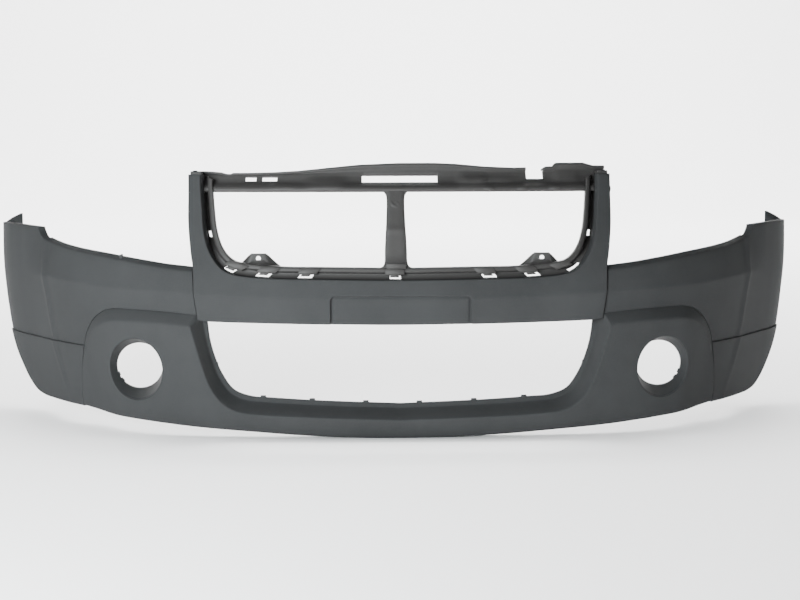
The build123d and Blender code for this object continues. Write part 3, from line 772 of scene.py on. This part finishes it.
# fog holes
fog_s = float(valance.s_of(529.0, 135.0))
ang = np.radians(np.arange(0, 360, 4.0))
fog_plane_n = inward(np.array([fog_s]))[0]
rim_t = np.array([-fog_plane_n[1], fog_plane_n[0], 0.0]) * -1
if rim_t[0] < 0:
    rim_t = -rim_t
rim_c = valance.at(np.array([fog_s]), np.array([135.0]))[0]
rim_r = 63.0
rim3 = rim_c + np.cos(ang)[:, None] * rim_r * rim_t + \
    np.sin(ang)[:, None] * rim_r * up
rs = valance.s_of(rim3[:, 0], rim3[:, 2])
hole_uv = np.stack([rs, rim3[:, 2]], 1)
bore_c = np.array([529.0, 126.0 - 8 + SHIFT_Y, 135.0])
bore3 = bore_c + np.cos(ang)[:, None] * 46.5 * np.array([1.0, 0, 0]) + \
    np.sin(ang)[:, None] * 46.5 * up
he3 = valance.at(hole_uv[:, 0], hole_uv[:, 1])
hd = bore3 - he3
hd /= np.linalg.norm(hd, axis=1)[:, None]
holes = []
for sx in (1, -1):
    huv = hole_uv * [sx, 1]
    hdd = hd * [sx, 1, 1]
    ee = he3 * [sx, 1, 1]
    holes.append(dict(uv=huv, r=2.0, skirt=hdd, tail=[ee + hdd * 4.0]))
b = Builder()
panel(b, valance.at, [dict(uv=uv, r=r, skirt=skirt, tail=tail)] + holes, 5.0)
finish_piece(b.mesh("valance_skin"), ["lower_valance"], COVER)
back_c = curve(INTAKE_BACK, 2)
NUBS = [(-275, 0), (-177, 0), (-70, 0), (37, 0), (146, 0), (247, 0),
        (-1, 141), (1, 141)]

# ------------------------------------------------------------------ fog-lamp sleeves
b = Builder()
e_in = he3 + hd * 3.6
rings = []
wall = 2.4
outw = e_in - rim_c
outw -= (outw @ fog_plane_n)[:, None] * fog_plane_n
outw /= np.linalg.norm(outw, axis=1)[:, None]
seq = [e_in + outw * 0.25, e_in + hd * 0.5 - outw * 0.15]
for k in (0.12, 0.3, 0.5, 0.7, 0.9, 0.985):
    seq.append(e_in + (bore3 - e_in) * k)
seq.append(bore3 + np.array([0, 1.0, 0]))
seq.append(bore3 + np.array([0, 8.0, 0]))
rad = (bore3 - bore_c) / 46.5
seq.append(bore3 + np.array([0, 8.6, 0]) + rad * 0.6)
seq.append(bore3 + np.array([0, 8.6, 0]) + rad * 8.0)
seq.append(bore3 + np.array([0, 6.2, 0]) + rad * 8.4)
seq.append(bore3 + np.array([0, 6.0, 0]) + rad * 2.6)
for k in (0.5, 1.0):
    p = bore3 + (e_in - bore3) * k
    seq.append(p + outw * 2.4 + hd * (1 - k) * 2)
ids = [b.add(q) for q in seq]
b.strip(ids + [ids[0]])
# snap teeth inside the bore
for a in (-40, -22):
    t = math.radians(a)
    rr, tt = np.array([math.cos(t), 0, math.sin(t)]), \
        np.array([-math.sin(t), 0, math.cos(t)])
    c = np.array([529.0, 126.0 - 3.5 + SHIFT_Y, 135.0])
    sec = []
    for w_, h0 in ((-5, 0), (-4, 3.4), (4, 3.4), (5, 0)):
        sec.append(c + rr * (47.5 - h0) + tt * w_)
    sec = np.array(sec)
    f = b.add(sec + [0, -3, 0])
    g = b.add(sec + [0, 3, 0])
    b.f.append(tuple(int(i) for i in f[::-1]))
    b.f.append(tuple(int(i) for i in g))
    b.strip([g, f])
for side, mir in (("right", False), ("left", True)):
    ob = b.mesh(side + "_fog_tunnel", mir)
    finish_piece(ob, [side + "_fog_sleeve"], SLEEVE, wall=0)

# ------------------------------------------------------------------ upper mouldings
def shape_y(x, z):
    """Y of the base face behind the point (x, z)."""
    x, z = np.asarray(x, float), np.asarray(z, float)
    sx = base_skin.s_of(x, z)
    return base_skin.at(sx, z)[..., 1]


def prism(b, outline, y0, y1, bevel=0.8, holes=()):
    """Plate with eased edges: outline and holes in (x, z), y0 the front."""
    outline = np.array(outline, float)
    if not turn(outline):
        outline = outline[::-1]
    loops = [outline] + [np.array(h, float) if not turn(np.array(h, float))
                         else np.array(h, float)[::-1] for h in holes]
    pts, edges, count = [], [], 0
    inner = [inset(lp, np.full(len(lp), bevel)) for lp in loops]
    for lp in inner:
        n_ = len(lp)
        edges += [(count + i, count + (i + 1) % n_) for i in range(n_)]
        pts.append(lp)
        count += n_
    allp = np.vstack(pts)
    res = delaunay_2d_cdt([Vector((float(p[0]), float(p[1]))) for p in allp],
                          edges, [], 0, 1e-6, True)
    vo = np.array([tuple(v) for v in res[0]])
    tri = np.array([list(t) for t in res[2]], int)
    cen = vo[tri].mean(1)
    ok = inside(inner[0], cen)
    for p in inner[1:]:
        ok &= ~inside(p, cen)
    tri = tri[ok]
    x = vo[tri]
    area_ = ((x[:, 1, 0] - x[:, 0, 0]) * (x[:, 2, 1] - x[:, 0, 1]) -
             (x[:, 2, 0] - x[:, 0, 0]) * (x[:, 1, 1] - x[:, 0, 1]))
    tri[area_ < 0] = tri[area_ < 0][:, ::-1]
    y0f = y0 if callable(y0) else (lambda xx, zz: np.full(len(xx), float(y0)))
    y1f = y1 if callable(y1) else (lambda xx, zz: np.full(len(xx), float(y1)))

    def lift(p, f, d=0.0):
        return np.stack([p[:, 0], f(p[:, 0], p[:, 1]) + d, p[:, 1]], 1)
    fa, ba = b.add(lift(vo, y0f)), b.add(lift(vo, y1f))
    b.f += [tuple(int(fa[i]) for i in t) for t in tri]
    b.f += [tuple(int(ba[i]) for i in t[::-1]) for t in tri]
    back = {}
    for new, olds in enumerate(res[3]):
        for o in olds:
            back[o] = new
    start = 0
    for lp in loops:
        n_ = len(lp)
        ids = [back[start + i] for i in range(n_)]
        start += n_
        rf = b.add(lift(lp, y0f, bevel))
        rb = b.add(lift(lp, y1f, -bevel))
        b.strip([fa[ids], rf, rb, ba[ids]])


def ring_grid(b, rows, flip=False, skip=None):
    """Open grid; rows is (n, m, 3); skip[i, j] leaves that cell out."""
    rows = np.asarray(rows, float)
    n_, m_ = rows.shape[:2]
    ids = b.add(rows.reshape(-1, 3)).reshape(n_, m_)
    for i in range(n_ - 1):
        for j in range(m_ - 1):
            if skip is not None and skip[i, j]:
                continue
            q = (ids[i, j], ids[i, j + 1], ids[i + 1, j + 1], ids[i + 1, j])
            b.f.append(tuple(int(k) for k in (q[::-1] if flip else q)))


b = Builder()
for xn, zn in NUBS:
    if zn == 0:
        zz = float(np.interp(abs(xn), back_c[::-1, 0], back_c[::-1, 1]))
        q = [(xn - 6.5, zz - 3), (xn + 6.5, zz - 3), (xn + 5, zz + 3.6),
             (xn - 5, zz + 3.6)]
    else:
        xx = xn * float(np.interp(-zn, -back_c[:, 1], back_c[:, 0]))
        q = [(xx + 4 * xn, zn - 9), (xx + 4 * xn, zn + 9), (xx - 4.2 * xn, zn + 7),
             (xx - 4.2 * xn, zn - 7)]
    prism(b, q, lambda xx_, zz_: shape_y(xx_, zz_) + 27.5,
          lambda xx_, zz_: shape_y(xx_, zz_) + 34, 1.0)
finish_piece(b.mesh("valance_edge_tabs"), ["lower_valance"], COVER,
             wall=0)
b = Builder()
yp = float(wing.at(wing.s_of(np.array([560.0]), np.array([350.0])),
                   np.array([350.0]))[0, 1])
prism(b, [(-563.5, 352), (-557, 352), (-557, 361.5), (-559, 362.5),
          (-563.5, 360.5)], yp + 7, yp + 12, 0.8)
finish_piece(b.mesh("left_top_peg"), ["left_corner_cover"], COVER,
             wall=0)

# small plates behind the corner where pod, corner skin and lower skin meet
b = Builder()
s_ = np.array([float(wing.s_of(651.6, 171.2))])
p0, q_ = wing.at(s_, np.array([171.2]))[0], inward(s_)[0]
t_ = np.cross(q_, [0, 0, 1.0])
t_ /= np.linalg.norm(t_)
for sx in (1, -1):
    ends = [np.array([p0 + q_ * d + t_ * a * 22 + np.array([0, 0, c * 16.0])
                      for a, c in ((-1, -1), (1, -1), (1, 1), (-1, 1))]) *
            [sx, 1, 1] for d in (18.0, 15.6)]
    if sx < 0:
        ends = [q[::-1] for q in ends]
    f, g = b.add(ends[0]), b.add(ends[1])
    b.f.append(tuple(int(i) for i in f[::-1]))
    b.f.append(tuple(int(i) for i in g))
    b.strip([g, f])
backers = b.mesh("seam_backers")
backers.data.polygons.foreach_set("use_smooth", [False] * len(backers.data.polygons))
finish_piece(backers, ["lower_valance"], COVER, wall=0)


# grille carrier: one channel that follows the U between the two outlines
half_in = curve([(x, z) for x, z in FACE_INNER], 2.0)
half_out = curve([(376, 512)] + GRILLE_HOLE, 2.0)


def even(c, n_):
    d = np.concatenate([[0], np.cumsum(np.hypot(*np.diff(c, axis=0).T))])
    g = np.linspace(0, d[-1], n_)
    return np.stack([np.interp(g, d, c[:, 0]), np.interp(g, d, c[:, 1])], 1)


HALF_N = 176
ci, co_ = even(half_in, HALF_N), even(half_out, HALF_N)
ci = np.vstack([ci * [-1, 1], ci[::-1][1:]])
co_ = np.vstack([co_ * [-1, 1], co_[::-1][1:]])
T = np.array([-0.06, 0.0, 0.05, 0.12, 0.22, 0.34, 0.44, 0.49, 0.54, 0.60, 0.68,
              0.80, 0.90, 0.96, 1.0, 1.005, 1.0])
D_LOW = np.array([6, 14, 17.5, 19, 19.6, 20, 20, 19.2, 16.0, 13.8, 13.0, 12.8,
                  12.8, 13.3, 15.5, 20, 28])
D_POST = np.array([6, 22, 32, 38, 40, 38, 33, 28, 22.5, 18.6, 16.8, 16.0, 15.6,
                   16.0, 17.8, 22, 30])
mid = ci + (co_ - ci) * 0.5
wp = smooth01((mid[:, 1] - 352) / 45)[:, None]
dep = D_LOW * (1 - wp) + D_POST * wp
X_ = ci[:, :1] + (co_[:, :1] - ci[:, :1]) * T
Z_ = ci[:, 1:] + (co_[:, 1:] - ci[:, 1:]) * T
rows = np.stack([X_, shape_y(X_, Z_) + dep, Z_], -1)
skip = np.zeros((len(rows) - 1, len(T) - 1), bool)
cx = (mid[:-1, 0] + mid[1:, 0]) / 2
cz = (mid[:-1, 1] + mid[1:, 1]) / 2
CLIPS = [(-329, 11.5), (-263, 12.5), (-180, 12.5), (-9, 11.5), (169, 12.5),
         (253, 12.5)]
arcl = np.concatenate([[0], np.cumsum(np.hypot(*np.diff(mid, axis=0).T))])
arcm = (arcl[:-1] + arcl[1:]) / 2
clip_at = []
for x0, hw in CLIPS:
    low_part = cz < 372
    k = int(np.argmin(np.where(low_part, np.abs(cx - x0), 1e9)))
    clip_at.append((k, hw))
    m_ = np.abs(arcm - arcm[k]) < hw
    skip[m_, 2:5] = True
k = int(np.argmin(np.where(cz < 380, np.abs(cx - 334), 1e9)))
skip[np.abs(arcm - arcm[k]) < 14, 2:4] = True
for sx in (-1, 1):
    for z0, z1, j0, j1 in ((486, 508, 5, 6), (397, 409, 4, 6)):
        m_ = (cz > z0) & (cz < z1) & (np.sign(cx) == sx)
        skip[m_, j0:j1] = True
b = Builder()
ring_grid(b, rows, flip=True, skip=skip)
chan = b.mesh("grille_channel")
finish_piece(chan, ["grille_carrier"], CARRIER, wall=2.0)

# raised blocks and tongues over the clip windows
b = Builder()
for k, hw in clip_at:
    t_dir = mid[k + 1] - mid[k - 1]
    t_dir = t_dir / np.hypot(*t_dir)
    n_dir = co_[k] - ci[k]
    wd = np.hypot(*n_dir)
    n_dir = n_dir / wd
    c0 = ci[k]
    def quad(a0, a1, n0, n1):
        return [c0 + t_dir * a0 + n_dir * n0, c0 + t_dir * a1 + n_dir * n0,
                c0 + t_dir * a1 + n_dir * n1, c0 + t_dir * a0 + n_dir * n1]
    prism(b, quad(-19, 19, 0.42 * wd, 0.94 * wd),
          lambda xx, zz: shape_y(xx, zz) + 9.0,
          lambda xx, zz: shape_y(xx, zz) + 24, 1.2)
    prism(b, quad(-8.6, 8.6, 0.20 * wd, 0.46 * wd),
          lambda xx, zz: shape_y(xx, zz) + 10.5,
          lambda xx, zz: shape_y(xx, zz) + 22, 0.9)
k = int(np.argmin(np.where(cz < 380, np.abs(cx - 326), 1e9)))
t_dir = mid[k + 1] - mid[k - 1]
t_dir = t_dir / np.hypot(*t_dir)
n_dir = co_[k] - ci[k]
wd = np.hypot(*n_dir)
n_dir = n_dir / wd
c0 = ci[k]
prism(b, [c0 + t_dir * -18 + n_dir * 0.45 * wd, c0 + t_dir * 18 + n_dir * 0.45 * wd,
          c0 + t_dir * 18 + n_dir * 0.95 * wd, c0 + t_dir * -18 + n_dir * 0.95 * wd],
      lambda xx, zz: shape_y(xx, zz) + 9.5,
      lambda xx, zz: shape_y(xx, zz) + 24, 1.2)
finish_piece(b.mesh("clip_blocks"), ["grille_carrier"], CARRIER,
             wall=0)

# bracket ears with folded edges and a ramp that runs down into the channel
EAR_Y = -204.603
for side, sx in (("left", -1), ("right", 1)):
    b = Builder()
    a_ = np.radians(np.arange(0, 360, 12))
    ring = np.stack([281 * sx + 4.8 * np.cos(a_), 356 + 4.8 * np.sin(a_)], 1)
    half_ = [(231, 335), (240, 341), (251, 351), (262, 362), (267, 365.8)]
    top_ = curve([(267, 365.8), (295, 365.8)], 3)
    l_ = curve(half_, 3)
    rr = np.array([(562 - x, z) for x, z in l_[::-1]])
    o_ = np.vstack([l_[:-1], top_[:-1], rr[:-1],
                    curve([(331, 335), (231, 335)], 3)[:-1]])
    o_ = o_ * [sx, 1]

    def ear_at(u, v, sx=sx):
        du = np.abs(np.asarray(u, float) * sx - 281)
        edge = 13 + np.maximum(365.8 - v, 0) * 0.42
        y_ = EAR_Y + 0.75 * (np.sqrt((du - edge) ** 2 + 3.0) + du - edge) * 0.5
        y_ = y_ - 2.5 * smooth01((346 - np.asarray(v, float)) / 10)
        return np.stack([np.asarray(u, float), y_, np.asarray(v, float)], -1)

    e3_ = ear_at(o_[:, 0], o_[:, 1])
    back_ = np.tile(np.array([0.0, 1.0, 0.0]), (len(o_), 1))
    e4_ = ear_at(ring[:, 0], ring[:, 1])
    back4 = np.tile(np.array([0.0, 1.0, 0.0]), (len(ring), 1))
    panel(b, ear_at, [dict(uv=o_, r=1.0, skirt=back_, tail=[e3_ + back_ * 7]),
                      dict(uv=ring, r=0.6, skirt=back4, tail=[e4_ + back4 * 3])],
          2.5)
    ear_ob = b.mesh(side + "_ear_plate")
    finish_piece(ear_ob, [side + "_bracket_ear"], CARRIER,
                 wall=1.4)
    b = Builder()
    # ramp
    xs_ = np.linspace(250, 310, 13) * sx
    ramp = []
    for t in np.linspace(0, 1, 9):
        zz = 353 - 20 * t
        yy = EAR_Y - 1.0 - 13 * smooth01(t) * 1.0
        w_ = 0.55 + 0.45 * t
        ramp.append([((281 * sx) + (x - 281 * sx) * w_,
                      yy + 5.0 * (abs((x - 281 * sx) / 30)) ** 4, zz) for x in xs_])
    rr_ = np.array(ramp)
    ring_grid(b, rr_, flip=(sx > 0))
    back_r = rr_ + [0, 3.0, 0]
    ring_grid(b, back_r, flip=(sx < 0))
    finish_piece(b.mesh(side + "_ear_ramp"), [side + "_bracket_ear"],
                 CARRIER, wall=0)

# centre post: a shell with flared feet, a crease and a moulding mark
POST_X = -9.0


def post_half(z):
    return np.interp(z, [336, 410, 450, 478, 490], [22, 19.5, 17.5, 17.5, 19])


zs_r = [(x + POST_X, z) for x, z in ((31, 337.5), (25.5, 341), (22.6, 348),
        (21.8, 372), (20.2, 404), (19.6, 412), (18.3, 440), (17.8, 470),
        (19.2, 479), (24, 485.5), (33, 489))]
right_e = curve(zs_r, 3.0)
left_e = np.array([(2 * POST_X - x, z) for x, z in right_e[::-1]])
top_e = curve([right_e[-1], left_e[0]], 3.0)
bot_e = curve([left_e[-1], right_e[0]], 3.0)
po, ptags = join(right_e, top_e, left_e, bot_e)
y_foot = float(shape_y(np.array([0.0]), np.array([345.0]))[0]) + 13.0
p_head = place(np.array([0.0]), 489.0, np.array([-93.0]))[0]
y_head = float(p_head[1]) - 1.0


def post_at(u, v):
    u, v = np.asarray(u, float), np.asarray(v, float)
    t = (v - 338) / (489 - 338)
    y = y_foot + (y_head - y_foot) * t
    y = y - 5.0 * np.exp(-((v - 412) / 7.0) ** 2) * 0.35
    y = y + 3.0 * smooth01((412 - v) / 60) - 3.0 * smooth01((360 - v) / 20)
    mark = np.hypot(u - POST_X + 1.5, v - 466)
    y = y - 1.6 * (smooth01((9.0 - mark) / 1.5) - smooth01((6.5 - mark) / 1.5)) * (
        v < 467)
    edge = np.abs(u - POST_X) / post_half(v)
    y = y + 2.2 * np.clip(edge, 0, 1) ** 6
    return np.stack([u, y, v], -1)


sk_dir = np.tile(np.array([0.0, 1.0, 0.0]), (len(po), 1))
e3 = post_at(po[:, 0], po[:, 1])
b = Builder()
panel(b, post_at, [dict(uv=po, r=2.2, skirt=sk_dir,
                        tail=[e3 + sk_dir * 7, e3 + sk_dir * 13])], 3.0)
finish_piece(b.mesh("centre_post_shell"), ["centre_post"],
             CARRIER, wall=1.8)
# stepped foot of the post
b = Builder()
yf = y_foot - 3.5
prism(b, [(POST_X - 17, 333), (POST_X + 17, 333), (POST_X + 20, 341),
          (POST_X + 21, 347), (POST_X - 21, 347), (POST_X - 20, 341)],
      yf, yf + 12, 1.5)
finish_piece(b.mesh("centre_post_foot"), ["centre_post"],
             CARRIER, wall=0)

# header bar
TOPS = [(-430, 524.5), (-400, 525), (-384, 524.5), (-362, 522.5), (-352, 519.5),
        (-343, 519), (-338, 521.5), (-300, 521.5), (-250, 523), (-205, 525.5),
        (-150, 531), (-83, 537.5), (0, 540.8), (70, 540.8), (111, 539),
        (172, 533.5), (230, 531), (256, 531.5), (292, 528), (297, 533),
        (316, 533.4), (318.5, 540.5), (376, 540.8), (386, 538), (397, 535),
        (446, 534.5)]
sl_rows = [(-96.5, 487.4), (-94.0, 487.3), (-93.0, 488.6), (-93.1, 490.6),
           (-94.6, 493.0), (-98.5, 495.4), (-105, 498.2), (-111.5, 500.6),
           (-115, 502.5), (-118, 505.2), (-121, 509), (-123.6, 513.6),
           (-125, 516.6)]
specials = [-311, -289, -277, -247, -76, 76, 257, 291.0, 318.0]
xs_h = sorted(set(list(np.arange(-415, 422, 3.5)) + specials))
xs_h = [x for x in xs_h if x in specials or
        min(abs(x - q) for q in specials) > 1.6]
xs_h = np.array(xs_h)
s_h = np.array([float(base_skin.s_of(np.array(x), np.array(500.0)))
                for x in xs_h])
# columns are cut by x at the header's own depth
for _ in range(6):
    px_ = place(s_h, 505.0, np.full(len(s_h), -118.0))[:, 0]
    s_h = s_h + (xs_h - px_)
tops = np.interp(xs_h, [p[0] for p in TOPS], [p[1] for p in TOPS])
rows = []
for x, s_, tp in zip(xs_h, s_h, tops):
    pr = list(sl_rows)
    for t, o in ((0.35, -126.8), (0.62, -128.8), (0.80, -125.6)):
        pr.append((o, 516.6 + (tp - 516.6) * t))
    pr += [(-125.0, tp - 0.1 * (tp - 516.6)), (-126.0, tp - 0.03 * (tp - 516.6)),
           (-128.2, tp), (-134, tp - 0.6), (-134.6, tp - 3.0)]
    out_ = []
    for o, z in pr:
        bul = 0.0
        for xc, hx, zc, hz, amp in ((-146, 36, 503, 8.5, 11), (147, 27, 507, 9.5, 12),
                                    (196, 34, 509, 6, 5), (-232, 26, 497, 5, 3),
                                    (-392, 20, 500, 12, 6), (178, 8, 491, 4.5, 4),
                                    (244, 8, 492, 4.5, 4), (309, 9, 493, 4.5, 4.5),
                                    (340, 26, 512, 14, 5)):
            bul += amp * math.exp(-((x - xc) / hx) ** 4) * \
                math.exp(-((z - zc) / hz) ** 2)
        out_.append(place(np.array([s_]), z, np.array([o + bul]))[0])
    rows.append(out_)
rows = np.array(rows)
hx = (xs_h[:-1] + xs_h[1:]) / 2
skip = np.zeros((rows.shape[0] - 1, rows.shape[1] - 1), bool)
for x0, x1, j0, j1 in ((-311, -289, 9, 11), (-277, -247, 9, 11), (-76, 76, 8, 12),
                       (257, 291, 10, 20)):
    skip[(hx > x0) & (hx < x1), j0:j1] = True
b = Builder()
ring_grid(b, rows, flip=False, skip=skip)
finish_piece(b.mesh("header_shell"), ["header_bar"], CARRIER,
             wall=2.2)
b = Builder()
for sx in (-1, 1):
    yy = float(shape_y(np.array([411.0]), np.array([520.0]))[0])
    yb = float(place(np.array([float(s_h[-6])]), 505.0, np.array([-128.0]))[0][1])
    ol = [(399, yy + 3), (417, yy + 3), (420, yy + 6), (421, yb + 6), (399, yb)]
    ol = [(x * sx, y) for x, y in ol]
    a_ = np.array(ol)
    lowr = np.stack([a_[:, 0], a_[:, 1], np.full(5, 520.4)], 1)
    upr = np.stack([a_[:, 0], a_[:, 1], np.full(5, 525.3)], 1)
    f1, f2 = b.add(lowr), b.add(upr)
    b.f.append(tuple(int(i) for i in (f2 if sx < 0 else f2[::-1])))
    b.f.append(tuple(int(i) for i in (f1[::-1] if sx < 0 else f1)))
    b.strip([f1, f2], flip=(sx > 0))
    # corner wall that closes the recess between the post and the header
    wall_ = []
    for t in np.linspace(0, 1, 9):
        y_ = yy + 16 + (yb - yy - 18) * t
        wall_.append([(sx * (397 - 10 * t), y_, 487 + 1.5 * t),
                      (sx * (398 - 8 * t), y_, 500),
                      (sx * (398 - 4 * t), y_, 512),
                      (sx * 399, y_, 524)])
    ring_grid(b, wall_, flip=(sx < 0))
hb = b.mesh("header_ends")
hb.data.polygons.foreach_set("use_smooth", [False] * len(hb.data.polygons))
finish_piece(hb, ["header_bar"], CARRIER, wall=1.5)

# ------------------------------------------------------------------ carried-over nodes
for name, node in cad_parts.items():
    if "pin" in name or name == "rivet_sleeves":
        mat = RIVET
    else:
        mat = COVER
    if node.data.materials:
        for i in range(len(node.data.materials)):
            node.data.materials[i] = mat
    else:
        node.data.materials.append(mat)
    for sl in node.material_slots:
        sl.material = mat

# ------------------------------------------------------------------ stage
bx0, bx1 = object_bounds()
z0 = float(bx0[2])
w = 16.0
ys = [-12.0, 9.0] + [9.0 + 3.0 * math.sin(math.radians(a)) for a in range(10, 91, 10)] + [12.0]
zs = [z0, z0] + [z0 + 3.0 * (1 - math.cos(math.radians(a))) for a in range(10, 91, 10)] + [12.0]
vv, ff = [], []
for y, z in zip(ys, zs):
    vv += [(-w, y, z), (w, y, z)]
for i in range(len(ys) - 1):
    ff.append((2 * i, 2 * i + 1, 2 * i + 3, 2 * i + 2))
me = bpy.data.meshes.new("studio_floor")
me.from_pydata(vv, [], ff)
me.polygons.foreach_set("use_smooth", [True] * len(ff))
floor = bpy.data.objects.new("studio_floor", me)
bpy.context.scene.collection.objects.link(floor)
fm = bpy.data.materials.new("studio_white")
fm.use_nodes = True
fb = fm.node_tree.nodes["Principled BSDF"]
fb.inputs["Base Color"].default_value = (0.93, 0.93, 0.93, 1)
fb.inputs["Roughness"].default_value = 0.9
me.materials.append(fm)

world = bpy.data.worlds.new("studio") if not bpy.context.scene.world else bpy.context.scene.world
bpy.context.scene.world = world
world.use_nodes = True
bg = world.node_tree.nodes.get("Background")
bg.inputs[0].default_value = (1, 1, 1, 1)
bg.inputs[1].default_value = 0.22


def area(name, loc, target, size, power, colour=(1, 1, 1)):
    li = bpy.data.lights.new(name, "AREA")
    li.shape = "RECTANGLE"
    li.size, li.size_y = size
    li.energy = power
    li.color = colour
    ob = bpy.data.objects.new(name, li)
    ob.location = loc
    ob.rotation_euler = (Vector(target) - Vector(loc)).to_track_quat(
        "-Z", "Y").to_euler()
    bpy.context.scene.collection.objects.link(ob)
    return ob


area("key_left", (-1.15, -2.25, 0.75), (-0.3, -0.1, 0.25), (0.9, 0.8), 108,
     (0.93, 0.985, 1.0))
washes = bpy.data.collections.new("floor_only")
washes.objects.link(floor)
for ob in (area("back_wash", (0, 5.0, 8.5), (0, 12.0, 3.0), (14.0, 4.0), 3600),
           area("floor_wash", (0, 3.5, 8.5), (0, 3.6, 0.0), (14.0, 11.0), 2600)):
    ob.light_linking.receiver_collection = washes

# ------------------------------------------------------------------ camera
YAW, PITCH, ROLL = math.radians(1.229), math.radians(5.92), math.radians(-0.139)
cy, sy, cp, sp = math.cos(YAW), math.sin(YAW), math.cos(PITCH), math.sin(PITCH)
fwd = Vector((sy * cp, cy * cp, -sp))
rgt = Vector((cy, -sy, 0))
upv = rgt.cross(fwd)
cr, sr = math.cos(ROLL), math.sin(ROLL)
r2 = rgt * cr + upv * sr
u2 = rgt * -sr + upv * cr
cam_data = bpy.data.cameras.new("photo_camera")
cam_data.sensor_width = 36
cam_data.lens = 62.74
cam = bpy.data.objects.new("photo_camera", cam_data)
loc = Vector((-60.2, -2959.9, 558.0)) / 1000
mat = Matrix(((r2.x, u2.x, -fwd.x, loc.x), (r2.y, u2.y, -fwd.y, loc.y),
              (r2.z, u2.z, -fwd.z, loc.z), (0, 0, 0, 1)))
cam.matrix_world = mat
bpy.context.scene.collection.objects.link(cam)
bpy.context.scene.camera = cam
